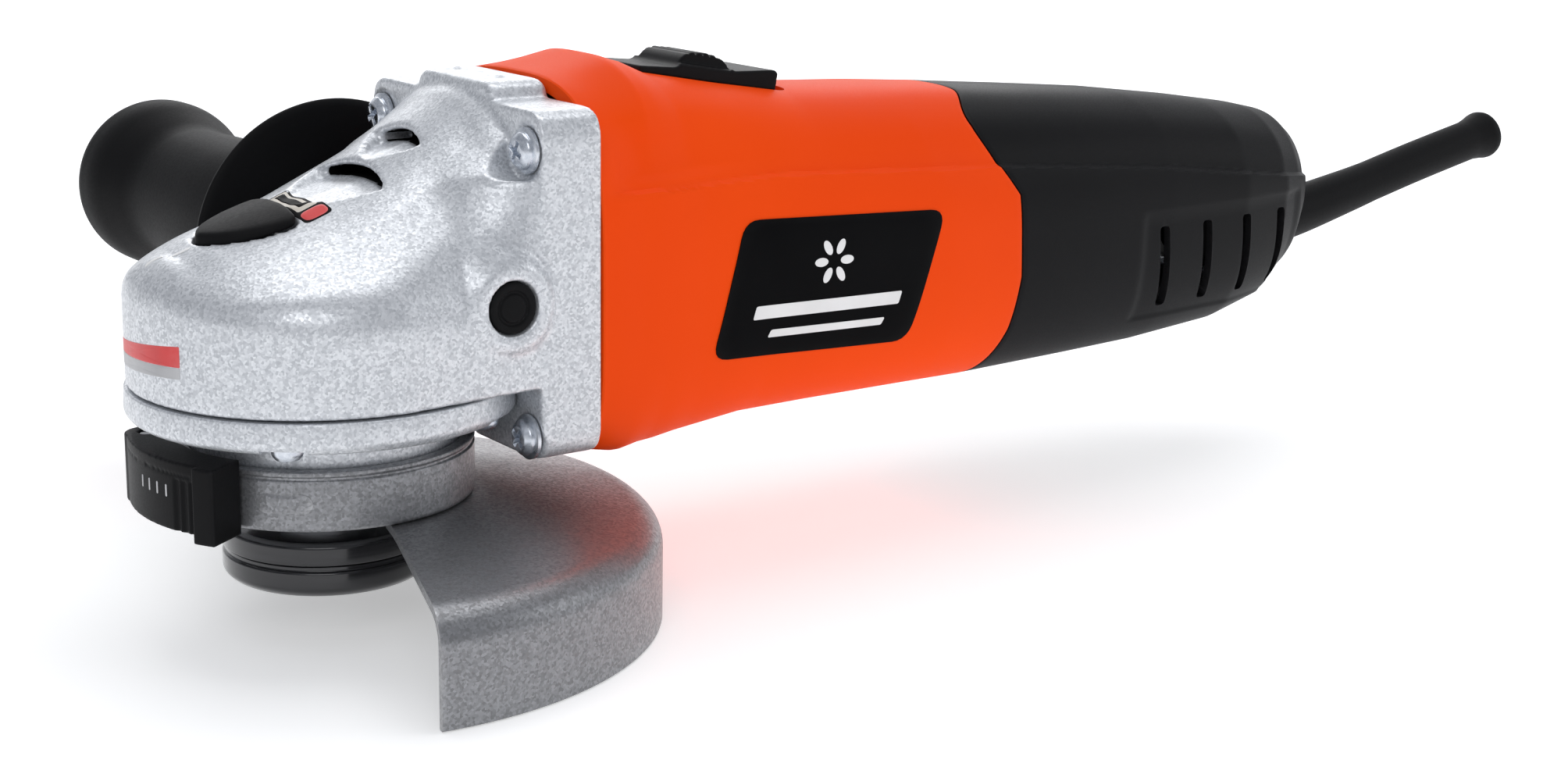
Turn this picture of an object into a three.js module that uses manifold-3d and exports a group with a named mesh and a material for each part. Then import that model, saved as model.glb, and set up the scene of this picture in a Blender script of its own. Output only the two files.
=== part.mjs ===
// Small angle grinder for 115 mm wheels, in millimetres, +Z up.
// Origin: centre of the spindle's lower end face. +X runs to the rear, along the motor.
// The side handle stands on the +Y side.
import * as THREE from 'three';
import { mergeVertices } from 'three/addons/utils/BufferGeometryUtils.js';
import { ConvexGeometry } from 'three/addons/geometries/ConvexGeometry.js';
import Module from 'manifold-3d';

const wasm = await Module();
wasm.setup();

// ---- driving dimensions ----
const gap = 0.3;              // between pieces that touch
const wall = 2.6;             // plastic shells
const castWall = 3;           // alloy head
const axisZ = 57.5;           // motor axis above the spindle's end
const noseR = 37.7;           // head around the spindle
const seamZ = 40;             // head meets the bearing cover
const partX = 43;             // head meets the motor housing
const capX = 154.3;           // motor housing meets the rear cover
const rearX = 271.4;          // rear end of the cover
const flangeHalf = 35;        // half width of the head's rear flange
const flangeFrontX = 29.3;
const flangeLowZ = 24.8;
const flangeTopZ = 93.8;
const coverR = 38.4;
const coverLowZ = 33.5;
const neckR = 26.7;
const neckLowZ = 16.2;
const bandWall = 2.1;
const bandHeight = 11.8;
const guardR = 67.2;          // outside of the guard's skirt
const guardSheet = 1.8;
const skirtLowZ = -10.8;
const guardDropZ = 4.8;       // how far the guard's plate falls from band to skirt
const guardTurn = -9;         // middle of the guard, degrees from +X
const wheelFlangeR = 20.8;
const outerFlangeH = 6.3;
const innerFlangeH = 4.6;
const spindleR = 7;           // threaded nose
const shoulderR = 9.5;
const journalR = 6;
const spindleTopZ = 63.4;
const bearingR = 16;
const bearingW = 9.7;
const crownTeeth = 37;
const pinionTeeth = 10;
const crownR = 22.5;          // outer end of the teeth, from the spindle axis
const toothLength = 7;
const toothShare = 0.38;      // tooth thickness over pitch, on the pitch cone
const lockCircleR = 12.4;
const lockPinR = 2.2;
const lockStroke = 4;
const buttonMiddleX = -16.4;
const buttonProud = 1.6;
const buttonThick = 3;
const springR = 3.4;
const springWire = 0.5;
const handleX = 22.4;
const handleZ = 57.1;
const handleBossR = 8;
const bossFaceY = 36.6;
const studR = 4;
const gripR = 15.4;
const knobR = 20.3;
const handGuardR = 31.6;
const handleEndY = 143.5;
const screwR = 2;
const screwHeadR = 3.9;
const shaftR = 5;
const coreR = 18.5;
const coreFromX = 74;
const coreToX = 114;
const airGap = 0.8;
const statorR = 27;
const fanR = 27;
const commutatorR = 12;
const commutatorX = 132;      // middle of the commutator and brushes
const commutatorW = 16;
const slideTilt = Math.atan(0.17);
const slideX = 68.4;          // front end of the slide, at rest
const slideZ = 97.2;          // top of the housing there
const slideLength = 36;
const slideHalf = 9.2;
const slideStroke = 8;
const screwHeadH = 2.9;
const sleeveZ = 46;
const sleeveR = 7.8;
const sleeveTip = [363.6, 62.6];

// ---- solids from three.js geometry ----

function solid(geometry) {
  const bare = geometry.clone();
  for (const name of Object.keys(bare.attributes)) {
    if (name !== 'position') bare.deleteAttribute(name);
  }
  const merged = mergeVertices(bare, 1e-4);
  const place = merged.attributes.position;
  const [a, b, c] = [new THREE.Vector3(), new THREE.Vector3(), new THREE.Vector3()];
  const faces = [];
  let volume = 0;
  for (let i = 0; i < merged.index.count; i += 3) {
    const face = [0, 1, 2].map((k) => merged.index.getX(i + k));
    if (new Set(face).size < 3) continue;
    a.fromBufferAttribute(place, face[0]);
    b.fromBufferAttribute(place, face[1]);
    c.fromBufferAttribute(place, face[2]);
    volume += a.dot(b.cross(c));
    faces.push(face);
  }
  const triVerts = new Uint32Array(faces.flatMap((face) => (volume < 0 ? face.toReversed() : face)));
  const vertProperties = new Float32Array(place.array);
  return new wasm.Manifold(new wasm.Mesh({ numProp: 3, vertProperties, triVerts }));
}

function box(x0, x1, y0, y1, z0, z1) {
  const geometry = new THREE.BoxGeometry(x1 - x0, y1 - y0, z1 - z0);
  return solid(geometry.translate((x0 + x1) / 2, (y0 + y1) / 2, (z0 + z1) / 2));
}

// Turns a geometry made about +Y so that it stands about another axis.
function stand(geometry, axis) {
  if (axis === 'z') return geometry.rotateX(Math.PI / 2);
  if (axis === 'x') return geometry.rotateZ(-Math.PI / 2);
  return geometry;
}

function rod(axis, radius, from, to, centre = [0, 0], segments = 20) {
  const geometry = new THREE.CylinderGeometry(radius, radius, to - from, segments);
  const middle = (from + to) / 2;
  stand(geometry, axis);
  if (axis === 'z') return solid(geometry.translate(centre[0], centre[1], middle));
  if (axis === 'x') return solid(geometry.translate(middle, centre[0], centre[1]));
  return solid(geometry.translate(centre[0], middle, centre[1]));
}

// A profile of [radius, height] points, turned about an axis through centre.
function turned(axis, profile, centre = [0, 0], segments = 32) {
  const points = profile.map(([r, h]) => new THREE.Vector2(r, h));
  if (profile[0][0] > 0) points.push(points[0].clone());
  const geometry = stand(new THREE.LatheGeometry(points, segments), axis);
  if (axis === 'z') return solid(geometry.translate(centre[0], centre[1], 0));
  if (axis === 'x') return solid(geometry.translate(0, centre[0], centre[1]));
  return solid(geometry.translate(centre[0], 0, centre[1]));
}

function ring(axis, inner, outer, from, to, centre = [0, 0], segments = 32) {
  return turned(axis, [[inner, from], [outer, from], [outer, to], [inner, to]], centre, segments);
}

function shapeOf(points) {
  if (points instanceof THREE.Shape) return points;
  return new THREE.Shape(points.map(([u, v]) => new THREE.Vector2(u, v)));
}

function extrude(points, depth, curveSegments = 10) {
  return new THREE.ExtrudeGeometry(shapeOf(points), { depth, bevelEnabled: false, curveSegments });
}

// Outline in X and Z, thick along Y.
function slabY(points, y0, y1) {
  return solid(extrude(points, y1 - y0).rotateX(Math.PI / 2).translate(0, y1, 0));
}

// Outline in X and Y, thick along Z.
function slabZ(points, z0, z1) {
  return solid(extrude(points, z1 - z0).translate(0, 0, z0));
}

// Outline in Y and Z, thick along X.
function slabX(points, x0, x1) {
  const frame = new THREE.Matrix4().makeBasis(
    new THREE.Vector3(0, 1, 0), new THREE.Vector3(0, 0, 1), new THREE.Vector3(1, 0, 0));
  return solid(extrude(points, x1 - x0).applyMatrix4(frame).translate(x0, 0, 0));
}

function hull(points) {
  return solid(new ConvexGeometry(points.map(([x, y, z]) => new THREE.Vector3(x, y, z))));
}

// Skin over rings of points that all have the same count.
function loft(rings) {
  const count = rings[0].length;
  const places = rings.flat(2);
  const index = [];
  for (let i = 0; i + 1 < rings.length; i += 1) {
    for (let j = 0; j < count; j += 1) {
      const [p, q] = [i * count + j, i * count + (j + 1) % count];
      index.push(p, q, p + count, q, q + count, p + count);
    }
  }
  const last = rings.length - 1;
  for (let j = 1; j + 1 < count; j += 1) {
    index.push(0, j + 1, j);
    index.push(last * count, last * count + j, last * count + j + 1);
  }
  const geometry = new THREE.BufferGeometry();
  geometry.setAttribute('position', new THREE.Float32BufferAttribute(places, 3));
  geometry.setIndex(index);
  return solid(geometry);
}

function coil(axis, radius, wire, from, to, turns, centre) {
  const points = [];
  const steps = turns * 8;
  for (let i = 0; i <= steps; i += 1) {
    const turn = (i / steps) * turns * 2 * Math.PI;
    const along = from + wire + ((to - from - 2 * wire) * i) / steps;
    const [u, v] = [radius * Math.cos(turn), radius * Math.sin(turn)];
    if (axis === 'z') points.push(new THREE.Vector3(centre[0] + u, centre[1] + v, along));
    else points.push(new THREE.Vector3(centre[0] + u, along, centre[1] + v));
  }
  const section = new THREE.Shape();
  section.absarc(0, 0, wire, 0, 2 * Math.PI);
  const extrudePath = new THREE.CatmullRomCurve3(points);
  const sweep = { steps, extrudePath, bevelEnabled: false, curveSegments: 3 };
  return solid(new THREE.ExtrudeGeometry(section, sweep));
}

function joined(pieces) {
  return pieces.reduce((whole, piece) => whole.add(piece));
}

function roundedRect(u0, u1, v0, v1, r) {
  const shape = new THREE.Shape();
  shape.absarc(u1 - r, v1 - r, r, 0, Math.PI / 2);
  shape.absarc(u0 + r, v1 - r, r, Math.PI / 2, Math.PI);
  shape.absarc(u0 + r, v0 + r, r, Math.PI, 1.5 * Math.PI);
  shape.absarc(u1 - r, v0 + r, r, 1.5 * Math.PI, 2 * Math.PI);
  return shape;
}

// ---- finishes ----
const finishes = {
  castAlloy: [0xb9bfc6, 0.45, 0.7],
  guardSteel: [0x9aa0a6, 0.5, 0.6],
  blackSteel: [0x141416, 0.3, 0.7],
  steel: [0xa8abb0, 0.35, 0.9],
  zinc: [0xc9ccd0, 0.35, 0.9],
  orange: [0xff5a08, 0.45, 0],
  black: [0x1c1c1e, 0.55, 0],
  rubber: [0x161616, 0.7, 0],
  copper: [0xb4642c, 0.4, 0.9],
  carbon: [0x2b2b2d, 0.8, 0],
  brass: [0xb99a4b, 0.4, 0.9],
  label: [0x0c0c0d, 0.3, 0],
};

const grinder = new THREE.Group();

function add(name, shape, finish) {
  const mesh = shape.getMesh();
  const geometry = new THREE.BufferGeometry();
  geometry.setAttribute('position', new THREE.Float32BufferAttribute(mesh.vertProperties, 3));
  geometry.setIndex([...mesh.triVerts]);
  const [color, roughness, metalness] = finishes[finish];
  const piece = new THREE.Mesh(geometry, new THREE.MeshStandardMaterial({ color, roughness, metalness }));
  piece.name = name;
  grinder.add(piece);
}

const sides = [['left', -1], ['right', 1]];
const radians = THREE.MathUtils.degToRad;

// ---- head ----

// Crest of the head along the middle plane, from the nose to the rear flange.
const crest = [
  [-36.6, 62.3], [-33, 64.6], [-30, 66.4], [-25.5, 68.7], [-16, 71.8], [-9, 73.9], [0, 77.5], [8.4, 81.4],
  [18.5, 88.1], [25, 92.5], [27, 94], [31, 96.4],
];

// Edge of the head's top along one side: distance along X, from the middle plane, and height.
const topEdge = [
  [-36.6, 0, 62], [-35.2, 8.8, 62.6], [-30, 15, 63.8], [-23.5, 19.6, 65.2], [-17, 22.2, 66.6],
  [-10.5, 23, 68.4], [-4.8, 22.8, 70.4], [2.3, 21.7, 74.1], [8, 20.2, 77.3], [13.9, 18.6, 80.6],
  [19, 18, 84], [23.2, 17.6, 86.8], [27, 16.6, 90.4], [31, 15.5, 94],
];

// Upper corner of the head's side, below that edge. It stands out towards the rear flange.
const shoulder = [
  [-36.9, 0, 61.4], [-35.8, 9.2, 61.7], [-31.2, 16.6, 62.3], [-25, 22, 63.3], [-18.5, 25.2, 64.6],
  [-11.5, 26, 66.4], [-5, 25.6, 68.6], [2.3, 23.4, 72.8], [8, 22, 76.2], [13.9, 20.8, 79.6],
  [19, 25.5, 80.8], [23.2, 29.5, 81.4], [27, 32.2, 82], [31, 33.6, 82.3],
];

const creaseZ = 58;           // where the head's side starts to lean in
const sideSwell = 0.16;       // how far the leaning side swells, as a share of how far it leans

function crestAt(x) {
  const [first, last] = [crest[0], crest.at(-1)];
  if (x <= first[0]) return first[1];
  if (x >= last[0]) return last[1];
  const i = crest.findIndex(([px]) => px > x);
  const [[x0, z0], [x1, z1]] = [crest[i - 1], crest[i]];
  return z0 + ((z1 - z0) * (x - x0)) / (x1 - x0);
}

// Upright part of the head's side: half a circle round the nose, then nearly straight to the flange.
function sideAt(share, z) {
  const straightFrom = 6 / 13;
  if (share <= straightFrom) {
    const turn = (share / straightFrom) * (Math.PI / 2);
    return [-noseR * Math.cos(turn), noseR * Math.sin(turn), z];
  }
  const along = (share - straightFrom) / (1 - straightFrom);
  return [along * topEdge.at(-1)[0], noseR + (flangeHalf - 0.4 - noseR) * along, z];
}

// One line up the head's side and over to the crest.
function headLine(i) {
  const share = i / (topEdge.length - 1);
  const [edge, corner] = [topEdge[i], shoulder[i]];
  const crease = sideAt(share, creaseZ);
  const [x, y, z] = [0, 1, 2].map((k) => (crease[k] + corner[k]) / 2);
  const swell = sideSwell * Math.hypot(crease[0] - corner[0], crease[1] - corner[1]);
  const grow = 1 + swell / Math.hypot(x, y);
  const swollen = share < 0.5 ? [x * grow, y * grow, z + swell / 2] : [x, y + swell, z + swell / 2];
  const crestX = Math.max(edge[0], crest[2][0]);
  const top = [crestX, 0, crestAt(crestX)];
  const crowned = [(edge[0] + crestX) / 2, edge[1] / 2, edge[2] + (top[2] - edge[2]) * 0.75];
  return [sideAt(share, seamZ), crease, swollen, corner, edge, crowned, top];
}

function headBody() {
  const last = topEdge.length - 1;
  const lines = topEdge.map((_, i) => headLine(i));
  const columns = [
    ...lines.toReversed().map((line) => line.map(([x, y, z]) => [x, -y, z])),
    ...lines.slice(1),
  ];
  const rows = lines[0].length;
  const index = [];
  for (let i = 0; i + 1 < columns.length; i += 1) {
    for (let j = 0; j + 1 < rows; j += 1) {
      const [p, q] = [i * rows + j, (i + 1) * rows + j];
      index.push(p, q, p + 1, q, q + 1, p + 1);
    }
  }
  const end = (columns.length - 1) * rows;
  for (let i = 1; i + 1 < columns.length; i += 1) index.push(0, (i + 1) * rows, i * rows);
  const rise = [...Array(rows).keys()];
  const outline = [...rise, ...rise.slice(0, -1).toReversed().map((j) => end + j)];
  const peak = rows - 1;
  outline.forEach((from, k) => {
    const to = outline[(k + 1) % outline.length];
    if (from !== peak && to !== peak) index.push(peak, from, to);
  });
  const geometry = new THREE.BufferGeometry();
  geometry.setAttribute('position', new THREE.Float32BufferAttribute(columns.flat(2), 3));
  geometry.setIndex(index);
  return solid(geometry);
}

const housingScrews = [[-29.6, 86], [29.6, 86], [-29.6, 29.4], [29.6, 29.4]];
const coverScrewAngles = [-127, 127, -53, 53];
const coverScrewCircle = 34;
const chamberR = 30.6;
const chamberTopZ = 57;
const bushR = 7.2;
const bushTopZ = 63.6;
const springLowZ = 58.8;
const bearingSeatX = 33;
const frontBearingR = 13;
const channelHalf = 11;
const plugR = studR + 1.1;

// Steps of the head's top: a shallow floor that ends in a curved riser with an air slot in it.
const airSteps = [
  {
    from: [-9, 73.9], riser: [9.2, 78], half: 14, sideDrop: 1.1, riserR: 41, slotX: [5, 14],
    slot: [[12.5, 76.9], [12.5, 78.6], [7, 79.9], [0, 80.4], [-7, 79.9], [-12.5, 78.6], [-12.5, 76.9], [0, 78.1]],
  },
  {
    from: [9.6, 81.9], riser: [18.8, 84.6], half: 8.7, sideDrop: 1.2, riserR: 30, slotX: [15.5, 24],
    slot: [[8.2, 83.4], [8.2, 85.4], [4, 86.6], [0, 87], [-4, 86.6], [-8.2, 85.4], [-8.2, 83.4], [0, 84.7]],
  },
];

function airStep({ from, riser, half, sideDrop, riserR }) {
  const [[fromX, fromZ], [riserX, riserZ]] = [from, riser];
  const points = [[fromX, 0, fromZ], [riserX, 0, riserZ], [fromX, 0, 120], [riserX, 0, 120]];
  for (const side of [-1, 1]) {
    points.push([riserX, side * half, riserZ - sideDrop], [riserX, side * (half + 2.5), riserZ + 2]);
    points.push([riserX, side * (half + 2.5), 120]);
  }
  return hull(points).intersect(rod('z', riserR, 0, 130, [riserX - riserR, 0], 64));
}

// Half of the lock button's outline, pointed to the front and straight at the rear.
const buttonHalf = [[-25.5, 0.6], [-23.6, 4.4], [-20, 7.8], [-15.2, 10.2], [-10.8, 11], [-9.4, 9.8], [-9, 5]];

function buttonOutline(extra) {
  const grow = 1 + extra / 10;
  const half = buttonHalf.map(([x, y]) => [buttonMiddleX + (x - buttonMiddleX) * grow, y * grow]);
  return [...half, ...half.toReversed().map(([x, y]) => [x, -y])];
}

// Space under the head's crest, lower than it by a drop.
function underTop(x0, x1, drop, low, half) {
  const inner = crest.filter(([x]) => x > x0 && x < x1).map(([x, z]) => [x, z - drop]);
  const [from, to] = [[x0, crestAt(x0) - drop], [x1, crestAt(x1) - drop]];
  return slabY([[x0, low], [x1, low], to, ...inner.toReversed(), from], -half, half);
}

function gearHousing() {
  const scoop = [[0, 12], [3.6, 17], [5.6, 23], [6, flangeFrontX], [0, flangeFrontX]];
  const upperScrews = housingScrews.filter(([, z]) => z > axisZ);
  const screwRelief = upperScrews.map((centre) => turned('x', scoop, centre, 16));
  let body = headBody();
  body = body.subtract(joined(screwRelief));
  const block = roundedRect(-flangeHalf, flangeHalf, flangeLowZ, flangeTopZ, 6);
  body = body.add(slabX(block, flangeFrontX, partX));
  body = body.add(slabX(roundedRect(-15.5, 15.5, axisZ, crest.at(-1)[1], 4), flangeFrontX - 0.5, partX));
  for (const [, side] of sides) {
    const [from, to] = side < 0 ? [-bossFaceY, -20] : [20, bossFaceY];
    body = body.add(rod('y', handleBossR, from, to, [handleX, handleZ], 28));
  }
  body = body.subtract(rod('z', chamberR, seamZ - 1, chamberTopZ, [0, 0], 28));
  body = body.subtract(rod('x', 9.5, 0, bearingSeatX + 1, [0, axisZ]));
  body = body.subtract(rod('x', frontBearingR + gap, bearingSeatX, partX + 1, [0, axisZ], 32));
  body = body.subtract(rod('z', bushR + gap, chamberTopZ - 1, bushTopZ + gap));
  body = body.subtract(rod('z', chamberR + 1.2, flangeLowZ - 1, coverLowZ, [0, 0], 28));
  for (const [y, z] of housingScrews) {
    body = body.subtract(rod('x', screwR + 0.4, flangeFrontX - 1, partX + 1, [y, z], 12));
  }
  for (const angle of coverScrewAngles) {
    const at = [coverScrewCircle * Math.cos(radians(angle)), coverScrewCircle * Math.sin(radians(angle))];
    body = body.subtract(rod('z', screwR + 0.2, seamZ - 1, seamZ + 14, at, 12));
  }
  for (const [, side] of sides) {
    const [from, to] = side < 0 ? [-bossFaceY - 1, -25] : [25, bossFaceY + 1];
    body = body.subtract(rod('y', studR + gap, from, to, [handleX, handleZ]));
  }
  const pocket = slabZ(buttonOutline(0.5), axisZ, 80);
  const pocketDrop = buttonThick - buttonProud + lockStroke + 0.5;
  body = body.subtract(pocket.subtract(underTop(-30, 0, pocketDrop, 40, 15)));
  body = body.subtract(rod('z', lockPinR + gap, chamberTopZ - 1, 72, [-lockCircleR, 0]));
  body = body.subtract(rod('z', springR + springWire + 0.4, springLowZ - gap, 68, [-lockCircleR, 0]));
  body = body.subtract(underTop(10, 26, castWall, 74, channelHalf));
  body = body.subtract(box(25, partX + 1, -channelHalf, channelHalf, 74.5, 88.5));
  for (const step of airSteps) {
    body = body.subtract(airStep(step)).subtract(slabX(step.slot, ...step.slotX));
  }
  return body.subtract(rod('y', plugR + gap, -bossFaceY - 1, -bossFaceY + 2, [handleX, handleZ], 24));
}

function bearingCover() {
  const rearCut = box(flangeFrontX - gap, 60, -60, 60, 0, seamZ + 5);
  const profile = [
    [shoulderR + 0.6, neckLowZ], [neckR, neckLowZ], [neckR, coverLowZ], [coverR - 1.2, coverLowZ],
    [coverR, coverLowZ + 1.5], [coverR - 0.3, seamZ - gap], [chamberR - gap, seamZ - gap],
    [chamberR - gap, seamZ + 1.5], [bearingR + 4, seamZ + 1.5], [bearingR + gap, seamZ - 0.5],
    [bearingR + gap, seamZ - 1 - bearingW - 2 * gap], [shoulderR + 0.6, seamZ - 1 - bearingW - 2 * gap],
  ];
  let cover = turned('z', profile, [0, 0], 40).subtract(rearCut);
  for (const angle of coverScrewAngles) {
    const at = [coverScrewCircle * Math.cos(radians(angle)), coverScrewCircle * Math.sin(radians(angle))];
    cover = cover.subtract(rod('z', screwR + 0.3, coverLowZ - 1, seamZ + 1, at, 12));
  }
  return cover;
}

// Pan head screw: head at from, shank towards to, along an axis.
function panScrew(axis, from, to, centre, headR = screwHeadR, shankR = screwR) {
  const way = Math.sign(to - from);
  const neck = from + way * screwHeadH;
  const profile = [[0, from], [headR * 0.7, from], [headR, from + way * 1.1], [headR, neck], [shankR, neck],
    [shankR, to - way * 0.8], [shankR * 0.6, to], [0, to]];
  return turned(axis, profile, centre, 12);
}

add('gear_housing', gearHousing(), 'castAlloy');
add('bearing_cover', bearingCover(), 'castAlloy');
coverScrewAngles.forEach((angle, i) => {
  const at = [coverScrewCircle * Math.cos(radians(angle)), coverScrewCircle * Math.sin(radians(angle))];
  add(`cover_screw_${i + 1}`, panScrew('z', coverLowZ - gap - screwHeadH, seamZ + 12, at, 3), 'zinc');
});
housingScrews.forEach(([y, z], i) => {
  add(`housing_screw_${i + 1}`, panScrew('x', flangeFrontX - gap - screwHeadH, partX + 8, [y, z]), 'zinc');
});

// ---- motor housing and rear cover ----

// Stations along X: top, bottom and half width, and how square the upper and lower parts are.
const barrel = [
  [43.3, 97.8, 23.6, 34.8, 4.6, 5],
  [48, 98.5, 22, 34.6, 4.5, 4.8],
  [53, 99.5, 20, 34.2, 4, 4.6],
  [58.5, 100.8, 20.2, 34, 2.9, 4],
  [62.5, 99.9, 20.5, 33.8, 2.8, 4],
  [68.4, 97.4, 21, 33.4, 2.7, 3.8],
  [86, 94.4, 22.6, 33, 2.6, 3.6],
  [104, 91.6, 22.8, 33, 2.6, 3.6],
  [135, 90.4, 22.6, 32.8, 2.6, 3.5],
  [154, 89.2, 22.2, 31.9, 2.6, 3.4],
  [181, 87, 22.4, 31, 2.7, 3.2],
  [207, 84.8, 22.9, 30, 2.7, 3.1],
  [234.6, 81.5, 24.6, 28.6, 2.7, 3],
  [252, 79, 27.6, 27.2, 2.7, 2.9],
  [262, 77, 33, 26, 2.7, 2.8],
  [268, 73.6, 39.6, 24, 2.6, 2.6],
  [271.4, 68.4, 45, 20.5, 2.4, 2.4],
];

function barrelRing([x, top, bottom, half, upper, lower], inset) {
  const points = [];
  const steps = 20;
  for (let i = 0; i < steps; i += 1) {
    const turn = (2 * Math.PI * i) / steps;
    const [c, s] = [Math.cos(turn), Math.sin(turn)];
    const square = s >= 0 ? upper : lower;
    const height = s >= 0 ? top - axisZ - inset : axisZ - bottom - inset;
    const y = (half - inset) * Math.sign(c) * Math.abs(c) ** (2 / square);
    points.push([x, y, axisZ + height * Math.sign(s) * Math.abs(s) ** (2 / square)]);
  }
  return points;
}

function stationAt(x) {
  const i = Math.max(1, barrel.findIndex(([px]) => px >= x));
  const share = (x - barrel[i - 1][0]) / (barrel[i][0] - barrel[i - 1][0]);
  return barrel[i].map((value, k) => (k === 0 ? x : barrel[i - 1][k] + (value - barrel[i - 1][k]) * share));
}

function barrelSolid(from, to, inset) {
  const between = barrel.filter(([x]) => x > from + 0.5 && x < to - 0.5);
  const ends = [Math.max(from, barrel[0][0]), Math.min(to, rearX)];
  const stations = [stationAt(ends[0]), ...between, stationAt(ends[1])];
  if (from < ends[0]) stations[0][0] = from;
  if (to > ends[1]) stations.at(-1)[0] = to;
  return loft(stations.map((station) => barrelRing(station, inset)));
}

// Places a solid made on level ground onto the sloping bed of the slide switch.
function onSlope(shape) {
  return shape.rotate([0, THREE.MathUtils.radToDeg(slideTilt), 0]).translate([slideX, 0, slideZ]);
}

const bedDepth = 1.6;
const stemHalf = 4;
const stemFrom = 16;
const stemTo = 30;
const rearBearingR = 9.5;
const sleeveWall = 2;
const seatFromX = 146.5;
const linkHalf = 3;
const linkTopZ = 86.2;
const linkLowZ = 84.9;
const bedFloor = 1.2;

function motorHousing() {
  const outer = barrelSolid(partX + gap, capX, 0);
  let shell = outer.subtract(barrelSolid(partX - 1, capX + 1, wall));
  const bosses = housingScrews.map(([y, z]) => rod('x', 4.6, partX + gap, partX + 12, [y, z], 12));
  shell = shell.add(joined(bosses).intersect(outer));
  let seat = outer.intersect(box(capX - 5, capX, -50, 50, 0, 120));
  const windows = [45, 135, 225, 315].map((angle) => {
    const [y, z] = [21.5 * Math.cos(radians(angle)), axisZ + 21.5 * Math.sin(radians(angle))];
    return rod('x', 6.5, capX - 10, capX + 1, [y, z], 16);
  });
  seat = seat.subtract(joined(windows));
  seat = seat.add(rod('x', rearBearingR + sleeveWall + 3, seatFromX, capX, [0, axisZ]));
  seat = seat.subtract(rod('x', rearBearingR + sleeveWall + gap, seatFromX - 1, capX + 1, [0, axisZ]));
  seat = seat.subtract(box(seatFromX - 1, capX + 1, -linkHalf - 0.6, linkHalf + 0.6, 72.6, 80.8));
  shell = shell.add(seat);
  const bed = box(-8.8, slideLength + 2.4, -slideHalf - 0.5, slideHalf + 0.5, -bedDepth, 12);
  const slot = box(stemFrom - slideStroke - 0.6, stemTo + 0.6, -stemHalf - 0.5, stemHalf + 0.5, -12, 2);
  const floor = box(-11, slideLength + 3, -slideHalf - 3, slideHalf + 3, -bedDepth - bedFloor, -bedDepth);
  const lid = onSlope(floor).intersect(outer);
  shell = shell.add(lid).subtract(onSlope(bed)).subtract(onSlope(slot));
  for (const [y, z] of housingScrews) {
    shell = shell.subtract(rod('x', screwR + gap, partX - 1, partX + 9, [y, z], 12));
  }
  return shell;
}

const coverBosses = [[172, 33], [243, 36], [246, 69]];
const ventXs = [205.5, 221, 236, 251];
const ventZ = [36, 54];
const ventHalf = 1.7;

function rearCover(side) {
  const outer = barrelSolid(capX + gap, rearX, 0);
  let shell = outer.subtract(barrelSolid(capX - 1, rearX - 4.5, wall));
  const bosses = coverBosses.map(([x, z]) => rod('y', 4.6, -40, 40, [x, z], 16));
  shell = shell.add(joined(bosses).intersect(outer));
  shell = shell.subtract(rod('x', sleeveR + 0.5, rearX - 12, rearX + 5, [0, sleeveZ]));
  for (const x of ventXs) {
    const [y0, y1] = side < 0 ? [-40, -18] : [18, 40];
    shell = shell.subtract(box(x - ventHalf, x + ventHalf, y0, y1, ventZ[0], ventZ[1]));
  }
  for (const [x, z] of coverBosses) {
    shell = shell.subtract(rod('y', 1.9, -16, 40, [x, z], 12));
    shell = shell.subtract(rod('y', 3.4, 12, 40, [x, z], 14));
  }
  const half = side < 0 ? box(100, 400, -60, -gap / 2, 0, 120) : box(100, 400, gap / 2, 60, 0, 120);
  return shell.intersect(half);
}

add('motor_housing', motorHousing(), 'orange');
for (const [name, side] of sides) add(`rear_cover_${name}`, rearCover(side), 'black');
coverBosses.forEach(([x, z], i) => {
  add(`rear_cover_screw_${i + 1}`, panScrew('y', 15.2, -14.5, [x, z], 3, 1.6), 'zinc');
});

function labelPlate() {
  const lean = [[70.6, 39.9], [123, 37.6], [132.4, 66], [78.5, 68.4]];
  return slabY(lean, -34, -33.4);
}

add('label_plate', labelPlate(), 'label');

// ---- motor ----

const shaftBore = shaftR + gap;
const coreSlots = 12;
const fanBlades = 9;
const fanFromX = 47;
const fanToX = 59.4;
const rearBearingX = 147.5;
const rearBearingW = 6;
const holderInnerY = 13.2;
const holderOuterY = 28.2;
const holderHalf = 5;
const brushOuterY = 20;

function armatureShaft() {
  const profile = [
    [0, 19.3], [2.6, 19.3], [2.6, 30.3], [4.7, 30.3], [4.7, 42.5], [shaftR, 42.5],
    [shaftR, 146], [3.5, 146], [3.5, 155], [0, 155],
  ];
  return turned('x', profile, [0, axisZ], 20);
}

function armatureCore() {
  const shape = new THREE.Shape();
  const slotHalf = radians(3.2);
  for (let i = 0; i < coreSlots; i += 1) {
    const middle = (2 * Math.PI * i) / coreSlots;
    const next = middle + (2 * Math.PI) / coreSlots;
    const polar = (r, turn) => [r * Math.cos(turn), axisZ + r * Math.sin(turn)];
    if (i === 0) shape.moveTo(...polar(coreR - 6, middle - slotHalf));
    shape.lineTo(...polar(coreR - 6, middle + slotHalf));
    shape.lineTo(...polar(coreR, middle + slotHalf));
    shape.lineTo(...polar(coreR, (middle + next) / 2));
    shape.lineTo(...polar(coreR, next - slotHalf));
    if (i + 1 < coreSlots) shape.lineTo(...polar(coreR - 6, next - slotHalf));
  }
  return slabX(shape, coreFromX, coreToX).subtract(rod('x', shaftBore, 0, 200, [0, axisZ], 20));
}

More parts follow.
